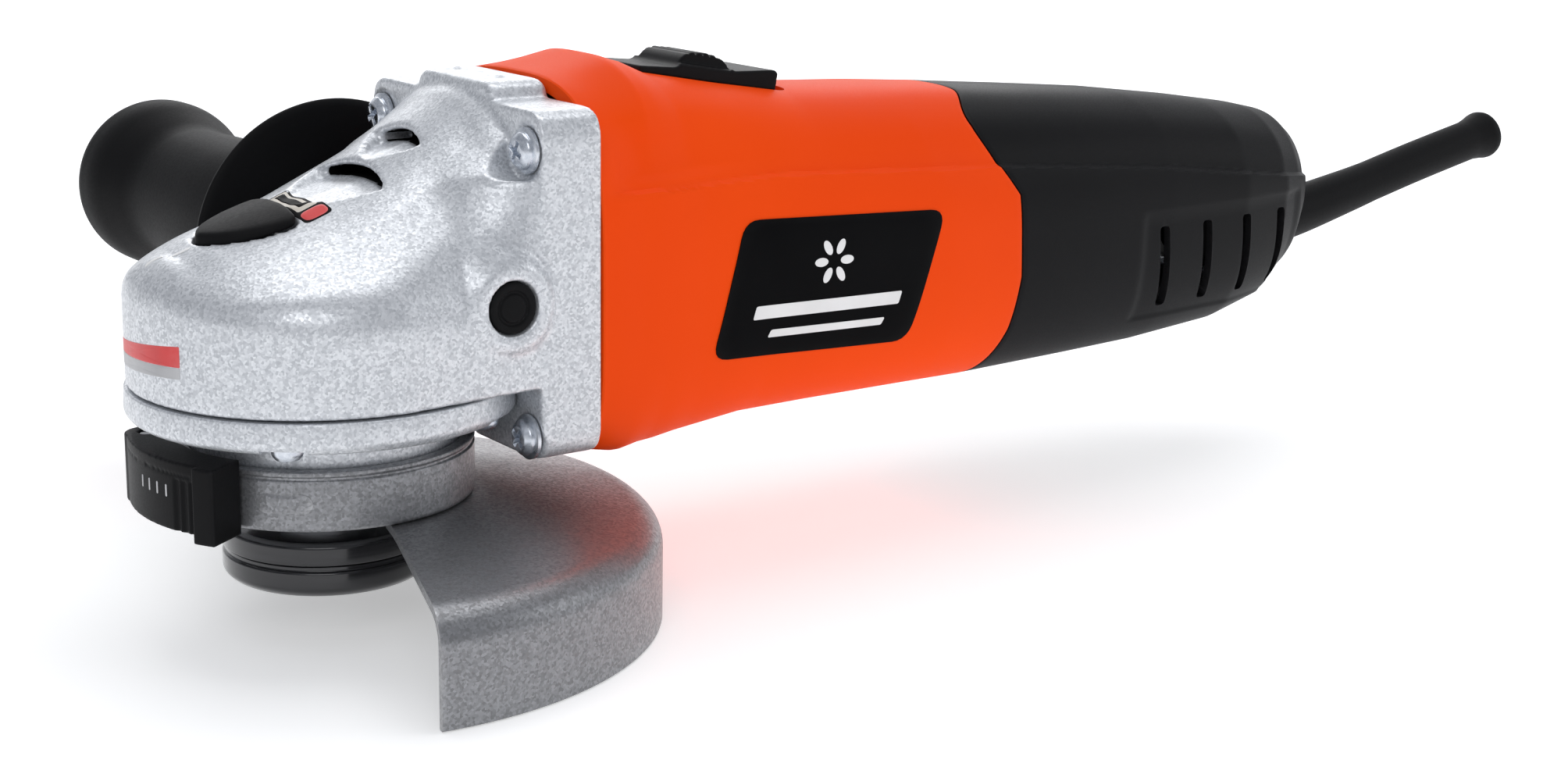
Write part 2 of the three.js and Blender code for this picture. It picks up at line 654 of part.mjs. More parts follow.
function windingHead(from, to) {
  const profile = [[shaftBore, from], [12, from], [15.5, (from + to) / 2], [14.5, to], [shaftBore, to]];
  return turned('x', profile, [0, axisZ], 24);
}

function fan() {
  const profile = [
    [shaftBore, fanFromX], [8, fanFromX], [8.6, fanToX - 2.4], [fanR, fanToX - 2], [fanR, fanToX],
    [shaftBore, fanToX],
  ];
  const disc = turned('x', profile, [0, axisZ], 28);
  const blades = [];
  for (let i = 0; i < fanBlades; i += 1) {
    const blade = box(fanFromX + 1.5, fanToX - 1.6, 4.2, 5.8, 10, fanR - 0.8);
    blades.push(blade.rotate([(360 * i) / fanBlades, 0, 0]).translate([0, 0, axisZ]));
  }
  return disc.add(joined(blades));
}

function sector(from, to, inner, outer, middle, half) {
  const shape = new THREE.Shape();
  shape.absarc(0, axisZ, outer, radians(middle - half), radians(middle + half));
  shape.absarc(0, axisZ, inner, radians(middle + half), radians(middle - half), true);
  return slabX(shape, from, to);
}

const statorBore = coreR + airGap;
const coilInner = statorBore + 0.6;
const coilOuter = 24;
const coilHalf = 48;

function statorCore() {
  let core = ring('x', statorBore, statorR, coreFromX, coreToX, [0, axisZ], 28);
  for (const middle of [90, 270]) {
    const space = sector(coreFromX - 1, coreToX + 1, statorBore - 2, coilOuter + gap, middle, coilHalf + 1);
    core = core.subtract(space);
  }
  return core;
}

function brushHolder(side) {
  const around = (half, y0, y1) => (
    box(commutatorX - half, commutatorX + half, y0, y1, axisZ - half, axisZ + half)
  );
  const holder = around(holderHalf, holderInnerY, holderOuterY)
    .subtract(around(holderHalf - 1.5, holderInnerY - 1, holderOuterY - 1.2));
  return side > 0 ? holder : holder.mirror([0, 1, 0]);
}

function carbonBrush(side) {
  const half = holderHalf - 1.5 - gap;
  const [from, to] = [commutatorR + gap, brushOuterY];
  const [y0, y1] = side > 0 ? [from, to] : [-to, -from];
  return box(commutatorX - half, commutatorX + half, y0, y1, axisZ - half, axisZ + half);
}

function brushSpring(side) {
  const spring = coil('y', 2.2, 0.45, brushOuterY + gap, holderOuterY - 1.2 - gap, 3, [commutatorX, axisZ]);
  return side > 0 ? spring : spring.mirror([0, 1, 0]);
}

add('armature_shaft', armatureShaft(), 'steel');
add('armature_core', armatureCore(), 'steel');
add('armature_winding_front', windingHead(66.5, coreFromX - gap), 'copper');
add('armature_winding_rear', windingHead(coreToX + gap, 121), 'copper');
add('commutator', ring('x', shaftBore, commutatorR, commutatorX - commutatorW / 2,
  commutatorX + commutatorW / 2, [0, axisZ], 24), 'copper');
add('fan', fan(), 'black');
add('front_armature_bearing', ring('x', 5, frontBearingR, bearingSeatX + gap, 41.5, [0, axisZ], 28), 'steel');
add('rear_armature_bearing', ring('x', 3.8, rearBearingR, rearBearingX, rearBearingX + rearBearingW,
  [0, axisZ], 24), 'steel');
add('bearing_sleeve', ring('x', rearBearingR + gap, rearBearingR + sleeveWall, rearBearingX - 0.5,
  rearBearingX + rearBearingW + 0.5, [0, axisZ], 24), 'rubber');
add('air_baffle', ring('x', 21, 29.4, fanToX + 2.1, fanToX + 5.1, [0, axisZ], 24), 'black');
add('stator_core', statorCore(), 'steel');
add('stator_coil_upper', sector(68, 120, coilInner, coilOuter, 90, coilHalf), 'copper');
add('stator_coil_lower', sector(68, 120, coilInner, coilOuter, 270, coilHalf), 'copper');
for (const [name, side] of sides) {
  add(`brush_holder_${name}`, brushHolder(side), 'brass');
  add(`carbon_brush_${name}`, carbonBrush(side), 'carbon');
  add(`brush_spring_${name}`, brushSpring(side), 'steel');
}

// ---- bevel gears: both cones meet where the two axes cross ----

const coneRise = pinionTeeth / crownTeeth;
const toothModule = (2 * crownR) / crownTeeth;
const toothAdd = 0.95 * toothModule;
const toothRoot = 1.2 * toothModule;
const flankLean = 0.42;
const pitchAngle = (2 * Math.PI) / crownTeeth;

// One tooth between two distances from the apex, along +X, standing up from the pitch line.
// Size shrinks with the distance, as on any bevel tooth.
function tooth(distance, rise, up) {
  const halfPitch = (toothShare * pitchAngle * crownR) / 2;
  const points = [];
  for (const share of [(crownR - toothLength) / crownR, 1]) {
    const levels = [
      [toothAdd, halfPitch - toothAdd * flankLean],
      [-toothRoot - 0.5, halfPitch + toothRoot * flankLean],
    ];
    for (const [height, half] of levels) {
      const z = rise * distance * share + up * height * share;
      for (const side of [-1, 1]) points.push([distance * share, side * half * share, z]);
    }
  }
  return hull(points);
}

function crownGear() {
  const at = (r, height) => axisZ - coneRise * r + (height * r) / crownR;
  const inner = crownR - toothLength;
  const profile = [
    [journalR + gap, 43], [12, 43], [13, 44.5], [crownR + 0.2, 44.5],
    [crownR + 0.2, at(crownR, -toothRoot)], [inner - 0.3, at(inner, -toothRoot)], [inner - 0.5, 50.2],
    [8.6, 50.2], [8.6, 53.4], [journalR + gap, 53.4],
  ];
  let gear = turned('z', profile, [0, 0], crownTeeth);
  const blank = tooth(crownR, -coneRise, 1).translate([0, 0, axisZ]);
  for (let i = 0; i < crownTeeth; i += 1) {
    gear = gear.add(blank.rotate([0, 0, (360 * (i + 0.5)) / crownTeeth]));
  }
  for (let i = 0; i < 4; i += 1) {
    const turn = Math.PI + (i * Math.PI) / 2;
    const hole = [lockCircleR * Math.cos(turn), lockCircleR * Math.sin(turn)];
    gear = gear.subtract(rod('z', lockPinR + 0.4, 46.5, 60, hole, 12));
  }
  return gear;
}

function pinionGear() {
  const at = (x, height) => coneRise * x + (height * x) / crownR;
  const inner = crownR - toothLength;
  const profile = [
    [0, inner - 0.2], [at(inner, -toothRoot), inner - 0.2], [at(crownR, -toothRoot), crownR],
    [6.4, crownR + 0.6], [6.4, 29.8], [0, 29.8],
  ];
  let gear = turned('x', profile, [0, 0], 20);
  const blank = tooth(crownR, -coneRise, -1);
  for (let i = 0; i < pinionTeeth; i += 1) gear = gear.add(blank.rotate([(360 * i) / pinionTeeth, 0, 0]));
  return gear.translate([0, 0, axisZ]).subtract(rod('x', 2.9, 19, 35, [0, axisZ], 16));
}

// ---- spindle group ----

const shoulderZ = outerFlangeH + innerFlangeH + 2 * gap;
const bearingLowZ = seamZ - 1 - bearingW - gap;

function spindle() {
  const profile = [
    [0, 0], [spindleR - 0.8, 0], [spindleR, 0.8], [spindleR, shoulderZ], [shoulderR, shoulderZ],
    [shoulderR, bearingLowZ - 2], [8, bearingLowZ - 0.2], [journalR, bearingLowZ - 0.2],
    [journalR, 57], [5, 57], [5, spindleTopZ - 0.6], [4.4, spindleTopZ], [0, spindleTopZ],
  ];
  return turned('z', profile, [0, 0], 20);
}

function outerFlange() {
  const profile = [
    [spindleR + gap, 0], [wheelFlangeR - 1.4, 0], [wheelFlangeR, 1.2], [wheelFlangeR, outerFlangeH],
    [spindleR + gap, outerFlangeH],
  ];
  let nut = turned('z', profile, [0, 0], 32);
  for (const x of [-15, 15]) nut = nut.subtract(rod('z', 2.5, -1, 3.5, [x, 0], 14));
  return nut;
}

function innerFlange() {
  const low = outerFlangeH + gap;
  const high = low + innerFlangeH;
  const profile = [
    [spindleR + gap, low], [wheelFlangeR, low], [wheelFlangeR, high - 1], [wheelFlangeR - 1, high],
    [spindleR + gap, high],
  ];
  return turned('z', profile, [0, 0], 32);
}

add('spindle', spindle(), 'steel');
add('crown_gear', crownGear(), 'steel');
add('pinion_gear', pinionGear(), 'steel');
add('spindle_bearing', ring('z', journalR + gap, bearingR, bearingLowZ, bearingLowZ + bearingW), 'steel');
add('upper_spindle_bush', ring('z', 5 + gap, bushR, chamberTopZ + 0.6, bushTopZ, [0, 0], 24), 'brass');
add('inner_flange', innerFlange(), 'blackSteel');
add('outer_flange', outerFlange(), 'blackSteel');

// ---- guard: shell, clamp band and quick lever, set about the neck ----

const bandInner = neckR + gap;
const bandR = bandInner + bandWall + 0.3;
const bandLowZ = neckLowZ;
const bandTopZ = neckLowZ + bandHeight;
const plateTopZ = bandLowZ - gap;
const pinAngle = 160;
const pinCircle = 34;
const pinR = 1.5;
const leverR = 38.4;
const leverTipAngle = 218;
const leverLowZ = 16.6;
const leverTopZ = 30.1;
const lugLowZ = 20;
const lugTopZ = 26;

const polar = (r, angle) => [r * Math.cos(radians(angle)), r * Math.sin(radians(angle))];

function arcSlab(inner, outer, from, to, z0, z1) {
  const shape = new THREE.Shape();
  shape.absarc(0, 0, outer, radians(from), radians(to));
  shape.absarc(0, 0, inner, radians(to), radians(from), true);
  return slabZ(shape, z0, z1);
}

function guardShell() {
  const edgeR = guardR - 4;
  const topOut = plateTopZ - guardDropZ;
  const profile = [
    [24, plateTopZ], [31, plateTopZ], [edgeR, topOut], [guardR - 1.2, topOut - 1.2], [guardR, topOut - 4],
    [guardR, skirtLowZ], [guardR - guardSheet, skirtLowZ], [guardR - guardSheet, topOut - 4],
    [edgeR - 0.6, topOut - guardSheet], [31, plateTopZ - guardSheet], [24, plateTopZ - guardSheet],
  ];
  const keep = [[0, -80], [0, -68], [4.5, -22], [4.5, 22], [0, 68], [0, 80], [80, 80], [80, -80]];
  return turned('z', profile, [0, 0], 48).intersect(slabZ(keep, -20, 30)).rotate([0, 0, guardTurn]);
}

function clampBand() {
  let band = ring('z', bandInner, bandR, bandLowZ, bandTopZ, [0, 0], 48);
  band = band.subtract(box(-40, -20, -2, 2, 0, 40).rotate([0, 0, 8]));
  const lug = arcSlab(bandInner + 1, pinCircle, pinAngle - 6, pinAngle + 6, lugLowZ, lugTopZ)
    .add(rod('z', 3.4, lugLowZ, lugTopZ, polar(pinCircle, pinAngle), 16));
  const clear = rod('z', bandInner + 0.05, 0, 40, [0, 0], 48);
  band = band.add(lug.subtract(clear));
  return band.subtract(rod('z', pinR + gap, 0, 40, polar(pinCircle, pinAngle), 14));
}

function guardLever() {
  const tabFrom = leverTipAngle - 6;
  let lever = arcSlab(bandR + 0.6, leverR, pinAngle, leverTipAngle, leverLowZ, leverTopZ);
  lever = lever.add(rod('z', 4.4, leverLowZ, leverTopZ, polar(pinCircle, pinAngle), 18));
  lever = lever.add(arcSlab(bandR + 0.9, leverR + 1.2, tabFrom, leverTipAngle, leverLowZ - 1.4, leverTopZ));
  const [roomLow, roomTop] = [lugLowZ - gap, lugTopZ + gap];
  const lugRoom = arcSlab(bandR - 3, pinCircle + 0.6, pinAngle - 16, pinAngle + 10, roomLow, roomTop)
    .add(rod('z', 4.1, roomLow, roomTop, polar(pinCircle, pinAngle), 18))
    .add(box(24, pinCircle, -9, 5, roomLow, roomTop).rotate([0, 0, pinAngle]));
  lever = lever.subtract(lugRoom).subtract(rod('z', bandR + 0.6, 0, 40, [0, 0], 48));
  return lever.subtract(rod('z', pinR + gap, leverLowZ + 1.5, 40, polar(pinCircle, pinAngle), 14));
}

add('guard_shell', guardShell(), 'guardSteel');
add('clamp_band', clampBand(), 'guardSteel');
add('guard_lever', guardLever(), 'black');
add('lever_pin', rod('z', pinR, leverLowZ + 1.5 + gap, leverTopZ - 0.4, polar(pinCircle, pinAngle), 12),
  'steel');

// ---- side handle ----

function handleGrip() {
  const profile = [
    [0, bossFaceY + gap], [10.5, bossFaceY + gap], [10.5, 40], [24, 39.8], [30.4, coverR + 0.6],
    [handGuardR, 39.8],
    [handGuardR - 0.4, 41.4], [27, 43.4], [18.5, 47], [gripR + 0.9, 53], [gripR, 62], [gripR + 0.9, 84],
    [gripR + 0.7, 100], [gripR, 117], [18, 124], [knobR, 130.5], [knobR, 138.5], [18.3, 142.6],
    [13, handleEndY], [0, handleEndY],
  ];
  const studHole = rod('y', studR + gap, 30, 70, [handleX, handleZ]);
  return turned('y', profile, [handleX, handleZ], 28).subtract(studHole);
}

function holePlug() {
  const profile = [
    [0, -bossFaceY + 0.4], [plugR, -bossFaceY + 0.4], [plugR, -bossFaceY + 1.6],
    [studR - 0.2, -bossFaceY + 2], [studR - 0.5, -27], [0, -27],
  ];
  return turned('y', profile, [handleX, handleZ], 24);
}

add('handle_grip', handleGrip(), 'rubber');
add('handle_stud', rod('y', studR, 25.6, 69.5, [handleX, handleZ], 20), 'zinc');
add('handle_hole_plug', holePlug(), 'rubber');

// ---- spindle lock ----

function lockButton() {
  const column = slabZ(buttonOutline(0), 40, 90);
  const proud = underTop(-30, 0, -buttonProud, 30, 15);
  const under = underTop(-30, 0, buttonThick - buttonProud, 20, 16);
  return column.intersect(proud).subtract(under);
}

const lockTipZ = 55.4;
const underButton = (x) => crestAt(x) - buttonThick + buttonProud - gap;
add('lock_button', lockButton(), 'rubber');
add('lock_pin', rod('z', lockPinR, lockTipZ, underButton(-lockCircleR - lockPinR), [-lockCircleR, 0], 16),
  'steel');

const springTopZ = underButton(-lockCircleR - springR - springWire);
add('lock_spring', coil('z', springR, springWire, springLowZ, springTopZ, 3, [-lockCircleR, 0]), 'steel');

// ---- slide switch ----

function switchSlider() {
  const side = [
    [0, -bedDepth + gap], [slideLength, -bedDepth + gap], [slideLength, 2.9], [slideLength - 1, 3.4],
    [25.4, 1.9], [24, 3.6], [20, 4.9], [14, 4.6], [12, 3.4], [11, 1], [0, 0.3],
  ];
  const plate = slabY(side, -slideHalf, slideHalf);
  const stem = box(stemFrom, stemTo, -stemHalf, stemHalf, -5.8, 0);
  return onSlope(plate.add(stem));
}

function switchLink() {
  const stemX = slideX + (stemFrom + stemTo) / 2;
  const side = [
    [stemX - 5, linkLowZ], [122, linkLowZ], [138, 77.2], [170, 73.2], [170, 75], [139, 78.8],
    [123, linkTopZ], [stemX - 5, linkTopZ],
  ];
  return slabY(side, -linkHalf, linkHalf);
}

function switchBody() {
  return box(173, 198, -8, 8, 44, 72).add(box(168, 174, -5, 5, 66, 71));
}

add('switch_slider', switchSlider(), 'black');
add('switch_link', switchLink(), 'black');
add('switch_body', switchBody(), 'black');
add('capacitor', box(205, 226, -7, 7, 60, 73), 'label');

// ---- cord entry ----

function cordSleeve() {
  const [tipX, tipZ] = sleeveTip;
  const path = new THREE.CatmullRomCurve3([
    new THREE.Vector3(rearX - 16, 0, sleeveZ), new THREE.Vector3(rearX + 6, 0, sleeveZ + 0.3),
    new THREE.Vector3(rearX + 32, 0, sleeveZ + 4.6), new THREE.Vector3(rearX + 62, 0, sleeveZ + 10.8),
    new THREE.Vector3(tipX, 0, tipZ),
  ]);
  const rings = [];
  const steps = 18;
  for (let i = 0; i <= steps; i += 1) {
    const t = i / steps;
    const middle = path.getPoint(t);
    const along = path.getTangent(t);
    const flare = t > 0.93 ? 1.1 : 0;
    const r = THREE.MathUtils.lerp(sleeveR, 5.6, Math.min(1, t * 1.7)) + flare;
    const up = new THREE.Vector3(-along.z, 0, along.x);
    rings.push(Array.from({ length: 16 }, (_, k) => {
      const turn = (2 * Math.PI * k) / 16;
      const p = middle.clone().addScaledVector(up, r * Math.sin(turn));
      return [p.x, r * Math.cos(turn), p.z];
    }));
  }
  const collar = rod('x', sleeveR + 2.4, rearX - 16, rearX - 12.6, [0, sleeveZ], 20);
  return loft(rings).add(collar);
}

function cordClamp() {
  const bar = box(240, 250, -9, 9, 52.5, 56.5);
  return bar.add(rod('x', 3, 240, 250, [0, 52.4], 12));
}

add('cord_sleeve', cordSleeve(), 'rubber');
add('cord_clamp', cordClamp(), 'black');

export default grinder;
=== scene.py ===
import math

import bmesh
import bpy
import numpy as np
from mathutils import Matrix, Vector
from mathutils.bvhtree import BVHTree


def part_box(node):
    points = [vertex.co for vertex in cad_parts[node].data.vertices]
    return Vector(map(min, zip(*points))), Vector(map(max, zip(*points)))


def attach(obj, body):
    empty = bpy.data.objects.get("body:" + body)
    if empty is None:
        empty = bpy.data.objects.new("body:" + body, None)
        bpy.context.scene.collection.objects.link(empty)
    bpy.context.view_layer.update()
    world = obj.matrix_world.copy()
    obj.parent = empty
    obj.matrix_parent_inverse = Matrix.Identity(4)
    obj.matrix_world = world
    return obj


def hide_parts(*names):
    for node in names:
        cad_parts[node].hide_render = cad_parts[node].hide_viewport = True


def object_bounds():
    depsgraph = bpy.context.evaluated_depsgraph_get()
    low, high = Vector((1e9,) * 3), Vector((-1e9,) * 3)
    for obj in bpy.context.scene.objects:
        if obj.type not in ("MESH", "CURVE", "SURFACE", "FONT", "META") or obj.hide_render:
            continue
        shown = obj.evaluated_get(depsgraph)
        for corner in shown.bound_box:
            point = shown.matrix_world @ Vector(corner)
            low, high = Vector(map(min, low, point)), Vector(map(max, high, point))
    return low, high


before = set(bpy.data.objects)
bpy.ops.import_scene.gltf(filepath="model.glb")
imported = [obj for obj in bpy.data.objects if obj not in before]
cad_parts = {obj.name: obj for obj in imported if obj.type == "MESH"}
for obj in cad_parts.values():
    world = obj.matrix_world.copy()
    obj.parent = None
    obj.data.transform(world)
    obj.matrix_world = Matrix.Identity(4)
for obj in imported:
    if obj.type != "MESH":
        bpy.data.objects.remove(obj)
cadBox = [[float(v) for v in corner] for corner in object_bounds()]
print("frame loaded")

# Shapes are worked out in millimetres and made in metres.
mm = 0.001


def span(node):
    low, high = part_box(node)
    return np.array(low) / mm, np.array(high) / mm


def middle(node):
    low, high = span(node)
    return (low + high) / 2


# Places shared by several pieces.
axisZ = middle("armature_shaft")[2]
seamZ = span("bearing_cover")[1][2] - 1.5
flangeFront = span("motor_housing")[0][0] - 14
partX = span("motor_housing")[0][0] - 0.3
capX = span("motor_housing")[1][0]
handleX, handleZ = middle("handle_grip")[0], middle("handle_grip")[2]
slideTilt = math.atan(0.17)
slideX, slideZ = span("switch_slider")[0][0] + 0.22, span("switch_slider")[1][2] - 1.48
screwPlaces = [middle(f"housing_screw_{i}")[1:] for i in range(1, 5)]


# ---- shape tools

def spline(knots, values, where):
    knots, values = np.asarray(knots, float), np.asarray(values, float)
    slopes = np.gradient(values, knots, axis=0)
    i = np.clip(np.searchsorted(knots, where, side="right") - 1, 0, len(knots) - 2)
    step = knots[i + 1] - knots[i]
    t = np.clip((where - knots[i]) / step, 0, 1)
    if values.ndim > 1:
        t, step = t[..., None], step[..., None]
    return ((2 * t**3 - 3 * t**2 + 1) * values[i] + (t**3 - 2 * t**2 + t) * step * slopes[i]
            + (3 * t**2 - 2 * t**3) * values[i + 1] + (t**3 - t**2) * step * slopes[i + 1])


def ease(value, low, high):
    t = np.clip((value - low) / (high - low), 0, 1)
    return t * t * (3 - 2 * t)


# Rounds each corner of a line. A radius of 0 leaves a corner sharp.
def softCorners(points, radii, steps=5, loop=False):
    points = np.asarray(points, float)
    count = len(points)
    radii = np.broadcast_to(radii, count)
    path = []
    for i in range(count):
        if radii[i] == 0 or (not loop and i in (0, count - 1)):
            path.append(points[i])
            continue
        here = points[i]
        back, ahead = points[i - 1] - here, points[(i + 1) % count] - here
        backLength, aheadLength = np.linalg.norm(back) + 1e-9, np.linalg.norm(ahead) + 1e-9
        reach = min(radii[i], 0.48 * backLength, 0.48 * aheadLength)
        first, last = here + back / backLength * reach, here + ahead / aheadLength * reach
        for t in np.linspace(0, 1, steps):
            path.append((1 - t) ** 2 * first + 2 * t * (1 - t) * here + t * t * last)
    return np.array(path)


def roundedRect(u0, u1, v0, v1, radius, steps=8):
    return softCorners([(u0, v0), (u1, v0), (u1, v1), (u0, v1)], radius, steps, loop=True)


def addPiece(name, points, faces):
    mesh = bpy.data.meshes.new(name)
    mesh.from_pydata((np.asarray(points, float) * mm).tolist(), [],
                     [[int(v) for v in face] for face in faces])
    piece = bpy.data.objects.new(name, mesh)
    bpy.context.scene.collection.objects.link(piece)
    work = bmesh.new()
    work.from_mesh(mesh)
    bmesh.ops.remove_doubles(work, verts=work.verts, dist=2e-6)
    bmesh.ops.dissolve_degenerate(work, edges=work.edges, dist=1e-7)
    bmesh.ops.recalc_face_normals(work, faces=work.faces)
    work.to_mesh(mesh)
    work.free()
    return piece


def gridFaces(rows, columns, rowsClose=False, columnsClose=False):
    faces = []
    for i in range(rows if rowsClose else rows - 1):
        for j in range(columns if columnsClose else columns - 1):
            k, m = (i + 1) % rows, (j + 1) % columns
            faces.append((i * columns + j, i * columns + m, k * columns + m, k * columns + j))
    return faces


# Skin over closed rings, with its ends filled or joined to each other.
def skin(name, rings, loop=False):
    rings = np.asarray(rings, float)
    rows, columns = rings.shape[:2]
    faces = gridFaces(rows, columns, loop, True)
    points = list(rings.reshape(-1, 3))
    if not loop:
        for row in (0, rows - 1):
            points.append(rings[row].mean(0))
            for j in range(columns):
                faces.append((row * columns + j, row * columns + (j + 1) % columns, len(points) - 1))
    return addPiece(name, points, faces)


# A profile of (radius, height) points turned about an axis through a centre.
def turned(name, profile, axis, centre=(0, 0), segments=160, sweep=None, wave=None):
    profile = np.asarray(profile, float)
    loop = profile[0][0] > 1e-6
    if sweep is None:
        angles = np.linspace(0, 2 * math.pi, segments, endpoint=False)
    else:
        angles = np.radians(np.linspace(sweep[0], sweep[1], segments))
    rings = []
    for angle in angles:
        r, h = profile[:, 0], profile[:, 1]
        if wave is not None:
            r = wave(r, h, angle)
        u, v = centre[0] + r * math.cos(angle), centre[1] + r * math.sin(angle)
        column = {"x": (h, u, v), "y": (u, h, v), "z": (u, v, h)}[axis]
        rings.append(np.stack(column, axis=1))
    rings = np.array(rings)
    rows, columns = rings.shape[:2]
    faces = gridFaces(rows, columns, sweep is None, loop)
    if sweep is not None:
        faces += [list(range(columns)), list(range((rows - 1) * columns, rows * columns))]
    return addPiece(name, rings.reshape(-1, 3), faces)


def prism(name, outline, axis, low, high, bevel=0.0, segments=3):
    outline = np.asarray(outline, float)
    points = []
    for level in (low, high):
        for u, v in outline:
            points.append({"x": (level, u, v), "y": (u, level, v), "z": (u, v, level)}[axis])
    count = len(outline)
    faces = [(i, (i + 1) % count, count + (i + 1) % count, count + i) for i in range(count)]
    faces += [list(range(count)), list(range(count, 2 * count))]
    piece = addPiece(name, points, faces)
    if bevel:
        softenEdges(piece, bevel, segments)
    return piece


def softenEdges(piece, width, segments=3, sharperThan=40):
    work = bmesh.new()
    work.from_mesh(piece.data)
    edges = [e for e in work.edges if len(e.link_faces) == 2
             and e.calc_face_angle(0) > math.radians(sharperThan)]
    bmesh.ops.bevel(work, geom=edges, offset=width * mm, segments=segments, profile=0.5, affect="EDGES",
                    clamp_overlap=True)
    work.to_mesh(piece.data)
    work.free()


def settle(piece):
    graph = bpy.context.evaluated_depsgraph_get()
    made = bpy.data.meshes.new_from_object(piece.evaluated_get(graph), depsgraph=graph)
    piece.modifiers.clear()
    old = piece.data
    piece.data = made
    made.name = piece.name
    bpy.data.meshes.remove(old)
    return piece


def carve(piece, *others, how="DIFFERENCE"):
    for other in others:
        tool = piece.modifiers.new("carve", "BOOLEAN")
        tool.operation = how
        tool.solver = "MANIFOLD"
        tool.object = other
        settle(piece)
        bpy.data.objects.remove(other)
    return piece


def unite(piece, *others):
    return carve(piece, *others, how="UNION")


# Turns a cut shape into an even skin whose edges are a little worn down.
def cast(piece, grain, rubs, strength=0.5):
    skinTool = piece.modifiers.new("cast", "REMESH")
    skinTool.mode = "VOXEL"
    skinTool.voxel_size = grain * mm
    rubTool = piece.modifiers.new("rub", "SMOOTH")
    rubTool.factor = strength
    rubTool.iterations = rubs
    return settle(piece)


def surfaceOf(piece):
    tree = BVHTree.FromPolygons([v.co for v in piece.data.vertices],
                                [p.vertices for p in piece.data.polygons])
    return tree


# A thin plate with a smooth outline, laid on a piece's surface. aim gives start points and directions.
def laidOn(name, surface, outline, aim, thick, lift=0.0, rings=8, soft=0.35):
    outline = np.asarray(outline, float)
    centre = outline.mean(0)
    count = len(outline)
    shares = [1.0, 1.0] + list(np.linspace(1, 0, rings + 1)[1:-1]) + [0.0]
    heights = [lift - 0.25, lift + thick * (1 - soft)] + [lift + thick] * (rings)
    layers = []
    for share, height in zip(shares, heights):
        flat = centre + (outline - centre) * (share if share else 1e-4)
        starts, ways = aim(flat)
        points = []
        for start, way in zip(starts, ways):
            way = Vector(way).normalized()
            hit = surface.ray_cast(Vector(start) * mm, way)[0]
            spot = np.array(hit) / mm if hit is not None else np.array(start) + 30 * np.array(way)
            points.append(spot - np.array(way) * height)
        layers.append(points)
    under = []
    for share in (0.5, 1e-4):
        starts, ways = aim(centre + (outline - centre) * share)
        points = []
        for start, way in zip(starts, ways):
            way = Vector(way).normalized()
            hit = surface.ray_cast(Vector(start) * mm, way)[0]
            spot = np.array(hit) / mm if hit is not None else np.array(start) + 30 * np.array(way)
            points.append(spot - np.array(way) * (lift - 0.25))
        under.append(points)
    rows = np.array(under[::-1] + layers)
    return skin(name, rows)


# Gives a piece its finish, its body and the frame nodes that it stands for.
def finishPiece(piece, body, finish, nodes=(), sharp=35):
    piece.data.materials.clear()
    piece.data.materials.append(finish)
    piece.data.polygons.foreach_set("use_smooth", [True] * len(piece.data.polygons))
    if sharp:
        piece.data.set_sharp_from_angle(angle=math.radians(sharp))
    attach(piece, body)
    if nodes:
        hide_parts(*nodes)
    print("made", piece.name, len(piece.data.polygons), "faces")
    return piece


# ---- finishes

def addNode(tree, kind, inputs=None, **settings):
    made = tree.nodes.new(kind)
    for name, value in settings.items():
        setattr(made, name, value)
    for name, value in (inputs or {}).items():
        socket = made.inputs[name]
        if isinstance(value, bpy.types.NodeSocket):
            tree.links.new(value, socket)
        else:
            socket.default_value = value
    return made


def sum2(tree, operation, a, b):
    made = addNode(tree, "ShaderNodeMath", operation=operation)
    for socket, value in zip(made.inputs, (a, b)):
        if isinstance(value, bpy.types.NodeSocket):
            tree.links.new(value, socket)
        else:
            socket.default_value = value
    return made.outputs[0]


def remap(tree, value, low, high, toLow, toHigh):
    made = addNode(tree, "ShaderNodeMapRange", {"Value": value, "From Min": low, "From Max": high,
                                                "To Min": toLow, "To Max": toHigh})
    return made.outputs["Result"]


def newGroup(name, inputs, outputs):
    tree = bpy.data.node_groups.new(name, "ShaderNodeTree")
    for label, kind, value in inputs:
        socket = tree.interface.new_socket(label, in_out="INPUT", socket_type=kind)
        if value is not None:
            socket.default_value = value
    for label, kind in outputs:
        tree.interface.new_socket(label, in_out="OUTPUT", socket_type=kind)
    return tree, tree.nodes.new("NodeGroupInput"), tree.nodes.new("NodeGroupOutput")


# Metallic flakes in lacquer: small cells of different brightness, in drifts.
def flakeGroup():
    tree, given, put = newGroup(
        "lacquer flakes",
        [("Place", "NodeSocketVector", None), ("Flakes", "NodeSocketFloat", 2600.0),
         ("Drift", "NodeSocketFloat", 0.3)],
        [("Tone", "NodeSocketFloat"), ("Height", "NodeSocketFloat")])
    cells = addNode(tree, "ShaderNodeTexVoronoi", {"Vector": given.outputs["Place"],
                                                   "Scale": given.outputs["Flakes"]},
                    voronoi_dimensions="3D", feature="F1")
    parts = addNode(tree, "ShaderNodeSeparateColor", {"Color": cells.outputs["Color"]})
    drift = addNode(tree, "ShaderNodeTexNoise", {"Vector": given.outputs["Place"], "Scale": 420.0,
                                                 "Detail": 5.0,
                                                 "Roughness": 0.6})
    centred = sum2(tree, "SUBTRACT", drift.outputs[0], 0.5)
    drifted = sum2(tree, "MULTIPLY", centred, given.outputs["Drift"])
    tone = sum2(tree, "ADD", parts.outputs[0], drifted)
    tree.links.new(tone, put.inputs["Tone"])
    tree.links.new(cells.outputs["Distance"], put.inputs["Height"])
    return tree


